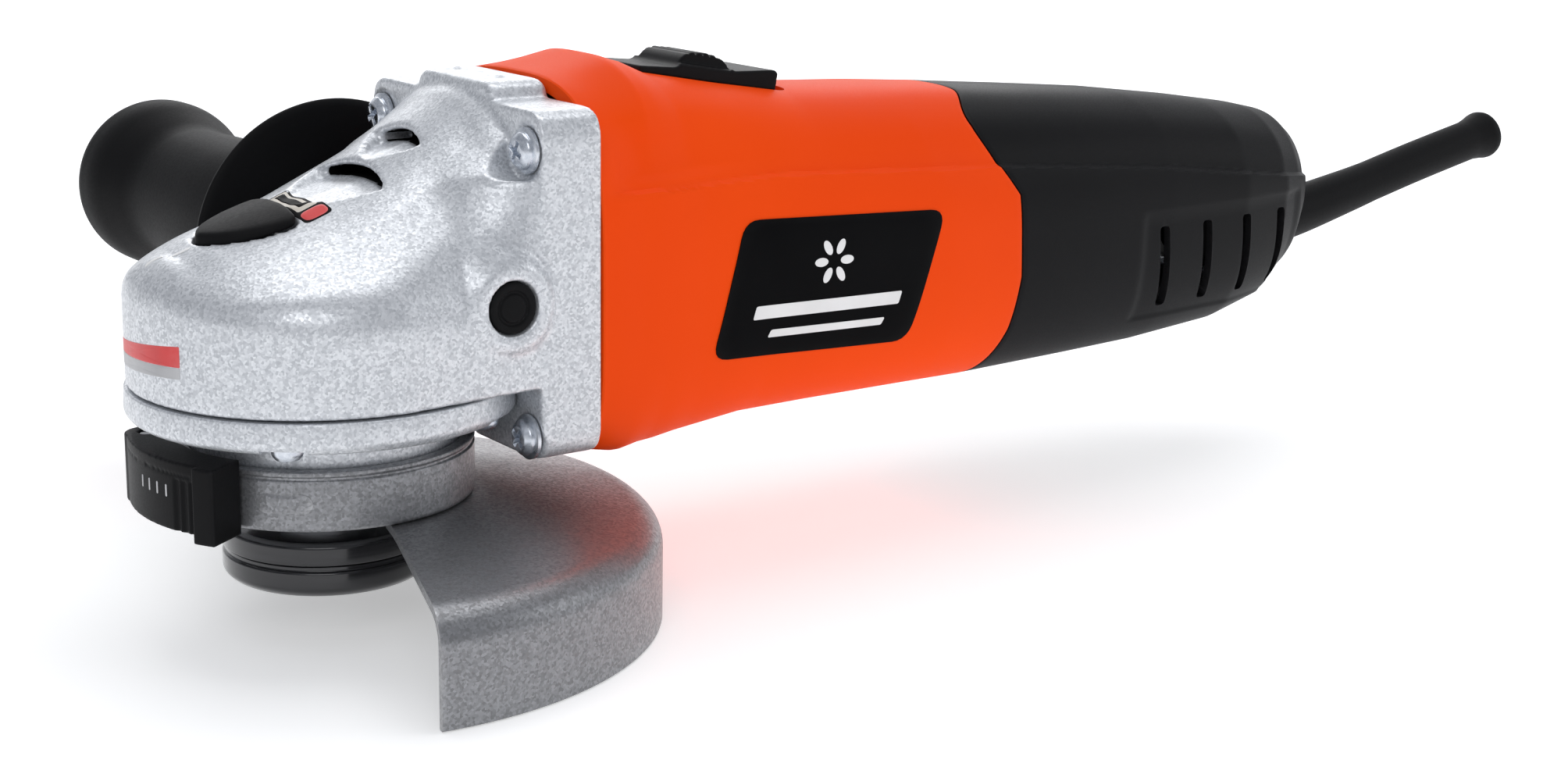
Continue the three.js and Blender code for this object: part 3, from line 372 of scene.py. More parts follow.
# Fine moulded grain with broad, faint patches.
def grainGroup():
    tree, given, put = newGroup(
        "moulded grain",
        [("Place", "NodeSocketVector", None), ("Grain", "NodeSocketFloat", 1800.0),
         ("Patches", "NodeSocketFloat", 14.0)],
        [("Height", "NodeSocketFloat"), ("Patch", "NodeSocketFloat")])
    fine = addNode(tree, "ShaderNodeTexNoise", {"Vector": given.outputs["Place"],
                                                "Scale": given.outputs["Grain"],
                                                "Detail": 3.0, "Roughness": 0.55})
    broad = addNode(tree, "ShaderNodeTexNoise", {"Vector": given.outputs["Place"],
                                                 "Scale": given.outputs["Patches"],
                                                 "Detail": 4.0, "Roughness": 0.5})
    tree.links.new(fine.outputs[0], put.inputs["Height"])
    tree.links.new(broad.outputs[0], put.inputs["Patch"])
    return tree


# Edges and proud spots, picked out by pointiness and broken up by noise: a mask for edge wear and a
# painted highlight.
def edgeWearAndHighlightGroup():
    tree, given, put = newGroup(
        "rubbed edges",
        [("Place", "NodeSocketVector", None), ("From", "NodeSocketFloat", 0.52),
         ("To", "NodeSocketFloat", 0.6)],
        [("Mask", "NodeSocketFloat")])
    shape = addNode(tree, "ShaderNodeNewGeometry")
    proud = addNode(tree, "ShaderNodeMapRange", {"Value": shape.outputs["Pointiness"],
                                                 "From Min": given.outputs["From"],
                                                 "From Max": given.outputs["To"]})
    broken = addNode(tree, "ShaderNodeTexNoise", {"Vector": given.outputs["Place"], "Scale": 260.0,
                                                  "Detail": 6.0,
                                                  "Roughness": 0.7})
    patchy = remap(tree, broken.outputs[0], 0.35, 0.65, 0.25, 1.0)
    mask = sum2(tree, "MULTIPLY", proud.outputs["Result"], patchy)
    tree.links.new(mask, put.inputs["Mask"])
    return tree


# Turning marks: fine rings or lines along one axis, stretched across the others.
def turningGroup():
    tree, given, put = newGroup(
        "turning marks",
        [("Place", "NodeSocketVector", None), ("Stretch", "NodeSocketVector", (40.0, 40.0, 3200.0))],
        [("Mark", "NodeSocketFloat")])
    squeezed = addNode(tree, "ShaderNodeVectorMath", operation="MULTIPLY")
    tree.links.new(given.outputs["Place"], squeezed.inputs[0])
    tree.links.new(given.outputs["Stretch"], squeezed.inputs[1])
    lines = addNode(tree, "ShaderNodeTexNoise", {"Vector": squeezed.outputs[0], "Scale": 1.0,
                                                 "Detail": 4.0,
                                                 "Roughness": 0.6})
    tree.links.new(lines.outputs[0], put.inputs["Mark"])
    return tree


flakes, grain, edgeWearAndHighlight, turning = flakeGroup(), grainGroup(), edgeWearAndHighlightGroup(), turningGroup()


def newFinish(name):
    finish = bpy.data.materials.new(name)
    finish.use_nodes = True
    tree = finish.node_tree
    surface = tree.nodes["Principled BSDF"]
    place = tree.nodes.new("ShaderNodeTexCoord").outputs["Object"]
    return finish, tree, surface, place


def useGroup(tree, group, inputs):
    made = tree.nodes.new("ShaderNodeGroup")
    made.node_tree = group
    for name, value in inputs.items():
        if isinstance(value, bpy.types.NodeSocket):
            tree.links.new(value, made.inputs[name])
        else:
            made.inputs[name].default_value = value
    return made.outputs


def blendColour(tree, share, first, second):
    made = tree.nodes.new("ShaderNodeMix")
    made.data_type = "RGBA"
    sockets = [s for s in made.inputs if s.enabled]
    for socket, value in zip(sockets, (share, first, second)):
        if isinstance(value, bpy.types.NodeSocket):
            tree.links.new(value, socket)
        else:
            socket.default_value = value if socket.type == "VALUE" else (*value, 1.0)
    return [s for s in made.outputs if s.enabled][0]


# Silver lacquer on castings and sheet: flakes, drifts, and edges lightened partly as wear and partly as a
# painted highlight.
def lacquerFinish(name, look):
    finish, tree, surface, place = newFinish(name)
    fleck = useGroup(tree, flakes, {"Place": place, "Flakes": look["flakes"], "Drift": look["drift"]})
    rub = useGroup(tree, edgeWearAndHighlight, {"Place": place, "From": 0.53, "To": 0.64})
    soil = useGroup(tree, grain, {"Place": place, "Grain": 900.0, "Patches": 22.0})
    tone = remap(tree, fleck["Tone"], 0.0, 1.0, look["low"], look["high"])
    painted = blendColour(tree, tone, look["dark"], look["light"])
    # Edges lightened towards a pale tone: partly wear, partly a painted highlight.
    wornAndHighlit = blendColour(tree, sum2(tree, "MULTIPLY", rub["Mask"], look["wearAndHighlight"]), painted, look["bare"])
    tree.links.new(wornAndHighlit, surface.inputs["Base Color"])
    rough = remap(tree, fleck["Tone"], 0.0, 1.0, look["rough"][0], look["rough"][1])
    tree.links.new(sum2(tree, "ADD", rough, remap(tree, soil["Patch"], 0.3, 0.7, -0.04, 0.04)),
                   surface.inputs["Roughness"])
    height = sum2(tree, "ADD", fleck["Height"], sum2(tree, "MULTIPLY", soil["Height"], 0.6))
    bump = addNode(tree, "ShaderNodeBump", {"Height": height, "Strength": look["bump"],
                                            "Distance": 0.00012})
    tree.links.new(bump.outputs[0], surface.inputs["Normal"])
    surface.inputs["Metallic"].default_value = look["metal"]
    surface.inputs["Coat Weight"].default_value = look["coat"]
    surface.inputs["Coat Roughness"].default_value = 0.22
    return finish


# Moulded plastic or rubber: grain, faint patches, and paler edges that are partly wear and partly a
# painted highlight.
def mouldedFinish(name, look):
    finish, tree, surface, place = newFinish(name)
    skinParts = useGroup(tree, grain, {"Place": place, "Grain": look["grain"],
                                       "Patches": look["patches"]})
    rub = useGroup(tree, edgeWearAndHighlight, {"Place": place, "From": 0.52, "To": 0.62})
    patch = remap(tree, skinParts["Patch"], 0.3, 0.7, 0.0, 1.0)
    tint = blendColour(tree, patch, look["deep"], look["base"])
    # Edges lightened towards a pale tone: partly wear, partly a painted highlight.
    edged = blendColour(tree, sum2(tree, "MULTIPLY", rub["Mask"], look["wearAndHighlight"]), tint, look["edge"])
    tree.links.new(edged, surface.inputs["Base Color"])
    rough = sum2(tree, "ADD", remap(tree, skinParts["Patch"], 0.3, 0.7, -0.05, 0.05),
                 remap(tree, skinParts["Height"], 0.3, 0.7, look["rough"] - 0.04, look["rough"] + 0.04))
    tree.links.new(rough, surface.inputs["Roughness"])
    bump = addNode(tree, "ShaderNodeBump", {"Height": skinParts["Height"], "Strength": look["bump"],
                                            "Distance": 0.00015})
    tree.links.new(bump.outputs[0], surface.inputs["Normal"])
    surface.inputs["Specular IOR Level"].default_value = look["shine"]
    surface.inputs["Coat Weight"].default_value = look.get("coat", 0.0)
    surface.inputs["Coat Roughness"].default_value = 0.2
    return finish


# Bare, plated or blacked metal with turning marks, and lighter edges that are partly wear and partly a
# painted highlight.
def metalFinish(name, look):
    finish, tree, surface, place = newFinish(name)
    marks = useGroup(tree, turning, {"Place": place, "Stretch": look["stretch"]})
    soil = useGroup(tree, grain, {"Place": place, "Grain": 700.0, "Patches": 60.0})
    rub = useGroup(tree, edgeWearAndHighlight, {"Place": place, "From": 0.53, "To": 0.62})
    tone = remap(tree, marks["Mark"], 0.3, 0.7, 0.0, 1.0)
    turnedColour = blendColour(tree, tone, look["dark"], look["light"])
    # Edges lightened towards a pale tone: partly wear, partly a painted highlight.
    wornAndHighlit = blendColour(tree, sum2(tree, "MULTIPLY", rub["Mask"], look["wearAndHighlight"]), turnedColour,
                       look["bare"])
    tree.links.new(wornAndHighlit, surface.inputs["Base Color"])
    rough = sum2(tree, "ADD", remap(tree, marks["Mark"], 0.3, 0.7, look["rough"] - 0.05,
                                    look["rough"] + 0.07),
                 remap(tree, soil["Patch"], 0.3, 0.7, -0.04, 0.06))
    tree.links.new(rough, surface.inputs["Roughness"])
    bump = addNode(tree, "ShaderNodeBump", {"Height": marks["Mark"], "Strength": look["bump"],
                                            "Distance": 0.0001})
    tree.links.new(bump.outputs[0], surface.inputs["Normal"])
    surface.inputs["Metallic"].default_value = look["metal"]
    surface.inputs["Coat Weight"].default_value = look.get("coat", 0.0)
    surface.inputs["Coat Roughness"].default_value = 0.12
    return finish


headLacquer = lacquerFinish("headLacquer", {
    "flakes": 2100.0, "drift": 0.14, "low": 0.0, "high": 1.0, "dark": (0.50, 0.52, 0.55),
    "light": (0.78, 0.80, 0.83),
    "bare": (0.9, 0.9, 0.92), "wearAndHighlight": 0.4, "rough": (0.46, 0.36), "bump": 0.16, "metal": 0.6,
    "coat": 0.2})
guardLacquer = lacquerFinish("guardLacquer", {
    "flakes": 2000.0, "drift": 0.25, "low": 0.0, "high": 1.0, "dark": (0.19, 0.193, 0.2),
    "light": (0.31, 0.315, 0.33),
    "bare": (0.7, 0.7, 0.71), "wearAndHighlight": 0.6, "rough": (0.46, 0.34), "bump": 0.18, "metal": 0.75,
    "coat": 0.12})
orangeShell = mouldedFinish("orangeShell", {
    "grain": 2600.0, "patches": 11.0, "deep": (0.90, 0.060, 0.001), "base": (0.97, 0.075, 0.002),
    "edge": (1.0, 0.16, 0.02), "wearAndHighlight": 0.5, "rough": 0.5, "bump": 0.05, "shine": 0.08})
blackShell = mouldedFinish("blackShell", {
    "grain": 2400.0, "patches": 16.0, "deep": (0.0045, 0.0045, 0.005), "base": (0.0075, 0.0075, 0.0085),
    "edge": (0.04, 0.04, 0.043), "wearAndHighlight": 0.6, "rough": 0.48, "bump": 0.08, "shine": 0.1})
softBlack = mouldedFinish("softBlack", {
    "grain": 1700.0, "patches": 20.0, "deep": (0.004, 0.004, 0.0045), "base": (0.007, 0.007, 0.0075),
    "edge": (0.03, 0.03, 0.032), "wearAndHighlight": 0.5, "rough": 0.56, "bump": 0.12, "shine": 0.1})
blackedSteel = metalFinish("blackedSteel", {
    "stretch": (60.0, 60.0, 2600.0), "dark": (0.006, 0.006, 0.007), "light": (0.02, 0.02, 0.023),
    "bare": (0.25, 0.25, 0.26), "wearAndHighlight": 0.35, "rough": 0.2, "bump": 0.05, "metal": 0.35, "coat": 0.6})
turnedSteel = metalFinish("turnedSteel", {
    "stretch": (200.0, 200.0, 2200.0), "dark": (0.38, 0.39, 0.4), "light": (0.6, 0.61, 0.63),
    "bare": (0.8, 0.8, 0.8), "wearAndHighlight": 0.5, "rough": 0.3, "bump": 0.12, "metal": 1.0})
zincPlate = metalFinish("zincPlate", {
    "stretch": (900.0, 900.0, 900.0), "dark": (0.52, 0.56, 0.62), "light": (0.78, 0.81, 0.86),
    "bare": (0.9, 0.9, 0.9), "wearAndHighlight": 0.6, "rough": 0.26, "bump": 0.06, "metal": 1.0})
windingCopper = metalFinish("windingCopper", {
    "stretch": (1500.0, 300.0, 300.0), "dark": (0.32, 0.11, 0.04), "light": (0.62, 0.27, 0.12),
    "bare": (0.8, 0.45, 0.25), "wearAndHighlight": 0.4, "rough": 0.34, "bump": 0.5, "metal": 0.9, "coat": 0.3})
holderBrass = metalFinish("holderBrass", {
    "stretch": (300.0, 1200.0, 300.0), "dark": (0.45, 0.31, 0.10), "light": (0.68, 0.5, 0.2),
    "bare": (0.85, 0.7, 0.4), "wearAndHighlight": 0.4, "rough": 0.33, "bump": 0.1, "metal": 1.0})
brushCarbon = mouldedFinish("brushCarbon", {
    "grain": 1200.0, "patches": 90.0, "deep": (0.012, 0.012, 0.013), "base": (0.03, 0.03, 0.032),
    "edge": (0.07, 0.07, 0.075), "wearAndHighlight": 0.5, "rough": 0.7, "bump": 0.3, "shine": 0.35})
plateBlack = mouldedFinish("plateBlack", {
    "grain": 3000.0, "patches": 30.0, "deep": (0.003, 0.003, 0.0035), "base": (0.005, 0.005, 0.0055),
    "edge": (0.02, 0.02, 0.02), "wearAndHighlight": 0.3, "rough": 0.42, "bump": 0.02, "shine": 0.03})
plateWhite = mouldedFinish("plateWhite", {
    "grain": 2600.0, "patches": 60.0, "deep": (0.80, 0.80, 0.79), "base": (0.9, 0.9, 0.9),
    "edge": (0.7, 0.7, 0.7), "wearAndHighlight": 0.2, "rough": 0.4, "bump": 0.03, "shine": 0.45})
stickerRed = mouldedFinish("stickerRed", {
    "grain": 2600.0, "patches": 80.0, "deep": (0.62, 0.02, 0.02), "base": (0.78, 0.03, 0.03),
    "edge": (0.8, 0.3, 0.3), "wearAndHighlight": 0.4, "rough": 0.35, "bump": 0.03, "shine": 0.5})
stickerGrey = mouldedFinish("stickerGrey", {
    "grain": 2600.0, "patches": 80.0, "deep": (0.42, 0.42, 0.43), "base": (0.55, 0.55, 0.56),
    "edge": (0.7, 0.7, 0.7), "wearAndHighlight": 0.4, "rough": 0.4, "bump": 0.03, "shine": 0.45})
stickerCream = mouldedFinish("stickerCream", {
    "grain": 2600.0, "patches": 80.0, "deep": (0.55, 0.5, 0.42), "base": (0.66, 0.61, 0.53),
    "edge": (0.75, 0.7, 0.65), "wearAndHighlight": 0.4, "rough": 0.4, "bump": 0.03, "shine": 0.45})
ductShadow = mouldedFinish("ductShadow", {
    "grain": 1500.0, "patches": 40.0, "deep": (0.001, 0.001, 0.001), "base": (0.002, 0.002, 0.002),
    "edge": (0.003, 0.003, 0.003), "wearAndHighlight": 0.1, "rough": 0.9, "bump": 0.1, "shine": 0.1})
print("finishes built")

# Frame nodes that show as they are, by slot.
carried = {
    "steel": (turnedSteel, ["armature_shaft", "armature_core", "front_armature_bearing",
                            "rear_armature_bearing",
                            "stator_core", "brush_spring_left", "brush_spring_right", "crown_gear",
                            "pinion_gear",
                            "spindle_bearing", "lever_pin", "lock_pin", "lock_spring"]),
    "copper": (windingCopper, ["armature_winding_front", "armature_winding_rear", "commutator",
                               "stator_coil_upper", "stator_coil_lower"]),
    "brass": (holderBrass, ["brush_holder_left", "brush_holder_right", "upper_spindle_bush"]),
    "carbon": (brushCarbon, ["carbon_brush_left", "carbon_brush_right"]),
    "zinc": (zincPlate, ["handle_stud"]),
    "black_plastic": (blackShell, ["fan", "air_baffle", "switch_link", "switch_body", "cord_clamp",
                                   "capacitor"]),
    "black_rubber": (softBlack, ["bearing_sleeve"]),
}
for slotName, (finish, names) in carried.items():
    for name in names:
        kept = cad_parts[name]
        kept.data.materials.clear()
        kept.data.materials.append(finish)


# ---- gear head

headForm = {
    "nose": 37.7, "creaseZ": 58.0, "flangeHalf": 35.0, "swell": 0.16, "columns": 110,
    "crest": [(-36.6, 62.3), (-33, 64.6), (-30, 66.4), (-25.5, 68.7), (-16, 71.8), (-9, 73.9), (0, 77.5),
              (8.4, 81.4), (18.5, 88.1), (25, 92.5), (27, 94), (31, 96.4)],
    "edge": [(-36.6, 0, 62), (-35.2, 8.8, 62.6), (-30, 15, 63.8), (-23.5, 19.6, 65.2), (-17, 22.2, 66.6),
             (-10.5, 23, 68.4), (-4.8, 22.8, 70.4), (2.3, 21.7, 74.1), (8, 20.2, 77.3),
             (13.9, 18.6, 80.6),
             (19, 18, 84), (23.2, 17.6, 86.8), (27, 16.6, 90.4), (31, 15.5, 94)],
    "shoulder": [(-36.9, 0, 61.4), (-35.8, 9.2, 61.7), (-31.2, 16.6, 62.3), (-25, 22, 63.3),
                 (-18.5, 25.2, 64.6),
                 (-11.5, 26, 66.4), (-5, 25.6, 68.6), (2.3, 23.4, 72.8), (8, 22, 76.2),
                 (13.9, 20.8, 79.6),
                 (19, 25.5, 80.8), (23.2, 29.5, 81.4), (27, 32.2, 82), (31, 33.6, 82.3)],
    "grain": 0.56, "rubs": 5,
}


def crestAt(x):
    table = np.array(headForm["crest"])
    return np.interp(x, table[:, 0], table[:, 1])


def headSide(share, z):
    straight = 6 / 13
    nose, rearX = headForm["nose"], headForm["edge"][-1][0]
    if share <= straight:
        turn = share / straight * math.pi / 2
        return np.array([-nose * math.cos(turn), nose * math.sin(turn), z])
    along = (share - straight) / (1 - straight)
    return np.array([along * rearX, nose + (headForm["flangeHalf"] - 0.4 - nose) * along, z])


# One line from the seam up the side and over the crown to the crest.
def headLine(share, edge, corner):
    crease = headSide(share, headForm["creaseZ"])
    lean = (crease + corner) / 2
    swell = headForm["swell"] * math.hypot(crease[0] - corner[0], crease[1] - corner[1])
    out = lean[:2] / np.linalg.norm(lean[:2]) if share < 0.5 else np.array([0.0, 1.0])
    swollen = lean + np.array([out[0] * swell, out[1] * swell, swell / 2])
    crestX = max(edge[0], headForm["crest"][2][0])
    crown = []
    for s in (0.8, 0.6, 0.4, 0.2, 0.0):
        x = crestX + (edge[0] - crestX) * s
        top = crestAt(crestX)
        crown.append((x, edge[1] * s, top - (top - edge[2]) * s * s))
    line = [headSide(share, seamZ), crease, swollen, corner, edge, *crown]
    return softCorners(line, [0, 7, 12, 1.6, 1.8] + [0] * len(crown), 5)


def headSkin():
    shares = np.linspace(0, 1, headForm["columns"])
    knots = np.linspace(0, 1, len(headForm["edge"]))
    edges, corners = spline(knots, headForm["edge"], shares), spline(knots, headForm["shoulder"], shares)
    lines = np.array([headLine(s, e, c) for s, e, c in zip(shares, edges, corners)])
    mirrored = lines[::-1] * np.array([1, -1, 1])
    columns = np.concatenate([mirrored, lines[1:]])
    count, rows = columns.shape[:2]
    faces = gridFaces(count, rows)
    last = (count - 1) * rows
    faces.append([i * rows for i in range(count)])
    faces.append(list(range(rows)) + [last + j for j in range(rows - 2, -1, -1)])
    return addPiece("gear_head", columns.reshape(-1, 3), faces)


# The step below an air slot: a shallow floor up to a curved riser.
airSteps = [
    {"from": (-9, 73.9), "riser": (9.2, 78.0), "half": 14, "drop": 1.1, "riserR": 41, "slotX": (4.5, 15),
     "slot": [(12.5, 77.2), (12.5, 78.7), (7, 80.0), (0, 80.5), (-7, 80.0), (-12.5, 78.7), (-12.5, 77.2),
              (-6, 77.9), (0, 78.2), (6, 77.9)]},
    {"from": (9.6, 81.9), "riser": (18.8, 84.6), "half": 8.7, "drop": 1.2, "riserR": 30,
     "slotX": (15.2, 25),
     "slot": [(8.2, 83.6), (8.2, 85.5), (4, 86.7), (0, 87.1), (-4, 86.7), (-8.2, 85.5), (-8.2, 83.6),
              (-4, 84.4), (0, 84.8), (4, 84.4)]},
]


def stepSpace(step):
    (fromX, fromZ), (riserX, riserZ) = step["from"], step["riser"]
    half, side = step["half"], 3.0
    sections = []
    for x, z, reach in ((fromX, fromZ, 0.5), ((fromX + riserX) / 2, (fromZ + riserZ) / 2 - 0.2,
                                              half * 0.62),
                        (riserX, riserZ, half)):
        sections.append([(x, -reach - side, 120), (x, -reach - side, z + 2),
                         (x, -reach, z - step["drop"] * reach / half),
                         (x, 0, z), (x, reach, z - step["drop"] * reach / half), (x, reach + side, z + 2),
                         (x, reach + side, 120)])
    space = skin("step", sections)
    outline = [(riserX - step["riserR"] + step["riserR"] * math.cos(a), step["riserR"] * math.sin(a))
               for a in np.linspace(0, 2 * math.pi, 128, endpoint=False)]
    return carve(space, prism("riser", outline, "z", 0, 130), how="INTERSECT")


buttonForm = {
    "half": [(-25.5, 0.0), (-23.7, 4.3), (-20, 7.8), (-15.2, 10.2), (-10.8, 11.0), (-9.4, 9.8),
             (-9.0, 5.0)],
    "middle": -16.4, "proud": 1.6, "thick": 3.0, "crown": 0.012,
}


def buttonOutline(extra, steps=6):
    grow = 1 + extra / 10
    half = [(buttonForm["middle"] + (x - buttonForm["middle"]) * grow, y * grow) for x,
            y in buttonForm["half"]]
    whole = half + [(x, -y) for x, y in half[:0:-1]]
    radii = [1.0] + [3.0] * 3 + [1.6, 1.6, 6.0] + [6.0, 1.6, 1.6] + [3.0] * 3
    return softCorners(whole, radii, steps, loop=True)


def cylinder(name, axis, radius, low, high, centre=(0, 0), segments=96):
    return turned(name, [(0, low), (radius, low), (radius, high), (0, high)], axis, centre, segments)


# Whether a place is in a step's slot, behind the riser and below the crown.
def insideSlot(step, x, y, z):
    riserX = step["riser"][0] - step["riserR"] + math.sqrt(step["riserR"] ** 2 - min(abs(y), 20) ** 2)
    heights = [height for _, height in step["slot"]]
    behind = riserX + 0.8 < x < step["slotX"][1] + 0.6
    level = min(heights) - 0.4 < z < max(heights) + 0.3
    return behind and level and abs(y) < step["half"] - 1 and z < crestAt(x) - 0.65 - 4 * (y / 20) ** 2


def makeHead():
    head = headSkin()
    block = prism("block", roundedRect(-35, 35, 24.8, 93.8, 6), "x", flangeFront, partX, 0.7)
    hump = prism("hump", roundedRect(-15.5, 15.5, axisZ, 97.4, 4.5), "x", flangeFront + 0.2, partX, 1.6)
    unite(head, block, hump)
    for side in (-1, 1):
        boss = [(0, side * 20), (14.5, side * 31.5), (9.2, side * 35.8), (8, side * 36.6),
                (0, side * 36.6)]
        unite(head, turned("boss", softCorners(boss, [0, 2, 3, 0.8, 0], 6), "y", (handleX, handleZ)))
        bump = softCorners([(0, 90), (2.1, 90), (2.1, 97.6), (0, 98.2)], [0, 0, 0.8, 0], 5)
        unite(head, turned("bump", bump, "z", (35.5, side * 8.5), 32))
    for y, z in screwPlaces:
        if z > axisZ:
            scoop = [(0, 11), (2.5, 14), (4.6, 19), (5.9, 25), (6.4, flangeFront), (0, flangeFront)]
            carve(head, turned("scoop", softCorners(scoop, [0, 3, 4, 4, 0, 0], 6), "x", (y, z + 0.4), 64))
        seat = cylinder("seat", "x", 5.2, flangeFront - 1, flangeFront + 0.6, (y, z))
        carve(head, seat)
    chamber = [(0, 20), (30.6, 20), (30.6, 57), (7.5, 57), (7.5, 63.9), (0, 63.9)]
    carve(head, turned("chamber", chamber, "z", segments=96))
    carve(head, cylinder("shaftWay", "x", 9.5, 0, 34, (0, axisZ)))
    carve(head, cylinder("bearingSeat", "x", 13.3, 33, 50, (0, axisZ)))
    carve(head, cylinder("pinWay", "z", 4.3, 56, 68, (middle("lock_pin")[0], 0), 48))
    pocketLow = [(-31, 20), (-31, crestAt(-31) - 5.9), (-25.5, crestAt(-25.5) - 5.9),
                 (-8, crestAt(-8) - 5.9), (-8, 20)]
    pocket = prism("pocket", buttonOutline(0.5), "z", 50, 90)
    carve(pocket, prism("pocketLow", pocketLow, "y", -20, 20))
    carve(head, pocket)
    for side in (-1, 1):
        carve(head, cylinder("plugSeat", "y", 5.4, side * 34.5, side * 38, (handleX, handleZ)))
    for step in airSteps:
        carve(head, stepSpace(step))
        carve(head, prism("slot", step["slot"], "x", *step["slotX"]))
    cast(head, headForm["grain"], headForm["rubs"])
    finishPiece(head, "root", headLacquer, ["gear_housing"], sharp=None)
    head.data.materials.append(ductShadow)
    for face in head.data.polygons:
        x, y, z = np.array(face.center) / mm
        if any(insideSlot(step, x, y, z) for step in airSteps):
            face.material_index = 1
    return head


head = makeHead()


# ---- bearing cover below the head

def makeCover():
    coverR, neckR = span("bearing_cover")[1][1], 26.7
    low = span("bearing_cover")[0][2]
    rim = 33.5
    profile = [(16.4, low), (neckR, low), (neckR, rim), (coverR - 1.2, rim), (coverR, rim + 1.5),
               (coverR - 0.3, seamZ - 0.35), (30, seamZ - 0.35), (30, seamZ + 1), (16.4, seamZ + 1)]
    cover = turned("bearing_cover_cast", softCorners(profile, [0, 0.8, 0.6, 0.9, 1.4, 0.5, 0, 0, 0], 6,
                                                     True), "z")
    carve(cover, prism("flat", [(flangeFront - 0.4, -60), (80, -60), (80, 60), (flangeFront - 0.4, 60)],
                       "z", 0, 90))
    for i in range(1, 5):
        x, y, _ = middle(f"cover_screw_{i}")
        out = np.array([x, y]) / math.hypot(x, y)
        notch = [np.array([x, y]) + out * a + np.array([-out[1], out[0]]) * b
                 for a, b in ((-3.6, -4.2), (9, -4.6), (9, 4.6), (-3.6, 4.2))]
        carve(cover, prism("notch", softCorners(notch, 3, 6, True), "z", rim - 2, rim + 0.9))
    return finishPiece(cover, "root", headLacquer, ["bearing_cover"])


makeCover()


# ---- motor housing and rear cover

barrelForm = {
    "stations": [
        (43.3, 97.8, 22.6, 34.8, 3.2, 5), (48, 98.5, 21.2, 34.6, 3.1, 4.8),
        (53, 99.5, 20, 34.2, 3.0, 4.6),
        (58.5, 100.8, 20.2, 34, 2.9, 4), (62.5, 99.9, 20.5, 33.8, 2.8, 4),
        (68.4, 97.4, 21, 33.4, 2.7, 3.8),
        (86, 94.4, 22.6, 33, 2.6, 3.6), (104, 91.6, 22.8, 33, 2.6, 3.6),
        (135, 90.4, 22.6, 32.8, 2.6, 3.5),
        (154, 89.2, 22.2, 31.9, 2.6, 3.4), (181, 87, 22.4, 31, 2.7, 3.2), (207, 84.8, 22.9, 30, 2.7, 3.1),
        (234.6, 81.5, 24.6, 28.4, 2.7, 3), (252, 79, 27.8, 25.6, 2.5, 2.8), (262, 77, 34, 21.6, 2.2, 2.5),
        (268, 73.6, 41, 17.4, 2.1, 2.3), (271.4, 68.4, 46, 13.6, 2.1, 2.2)],
    "crease": [(43, 76.0), (90, 76.5), (154, 73.5), (205, 69), (260, 62), (272, 60)],
    "ledge": 1.3, "wall": 2.6, "around": 360,
}


def barrelRing(x, inset=0.0, creased=True):
    table = np.array(barrelForm["stations"])
    top, bottom, half, upper, lower = [np.interp(x, table[:, 0], table[:, k]) for k in range(1, 6)]
    turn = np.linspace(0, 2 * math.pi, barrelForm["around"], endpoint=False)
    c, s = np.cos(turn), np.sin(turn)
    square = np.where(s >= 0, upper, lower)
    height = np.where(s >= 0, top - axisZ - inset, axisZ - bottom - inset)
    y = (half - inset) * np.sign(c) * np.abs(c) ** (2 / square)
    z = axisZ + height * np.sign(s) * np.abs(s) ** (2 / square)
    if creased:
        creaseZ = np.interp(x, *np.array(barrelForm["crease"]).T)
        above = ease(z, creaseZ - 0.3, creaseZ + 0.5) * ease(abs(y), 6, 20)
        fade = ease(x, 43, 52)
        y = y - np.sign(y) * barrelForm["ledge"] * above * fade
        # A hollow above the crease, deepest near the head.
        hollow = ease(z, creaseZ + 0.5, creaseZ + 4) * (1 - ease(z, creaseZ + 7, creaseZ + 15))
        along = ease(x, 46, 56) * (1 - ease(x, 62, 96))
        y = y - np.sign(y) * 2.0 * hollow * along * ease(abs(y), 10, 24)
    return np.stack([np.full_like(y, x), y, z], axis=1)


# How far the joint between the shells swings forward or back, by height and side.
def jointShift(ring):
    table = np.array([(20, -5), (26, -3), (36, 0.4), (48, 2.4), (67, 1.4), (73, -3), (82, -7.5),
                      (88, -12), (92, -12)])
    side = np.interp(ring[:, 2], table[:, 0], table[:, 1])
    share = ease(np.abs(ring[:, 1]), 9, 27)
    return np.where(ring[:, 2] > axisZ, -1.2 + (side + 1.2) * share, side)


def bowed(ring, x):
    ring = ring.copy()
    ring[:, 0] += jointShift(ring) * (1 - ease(abs(x - capX), 4, 40))
    return ring


def shellRings(xs, insets):
    return [bowed(barrelRing(x, inset), x) for x, inset in zip(xs, insets)]


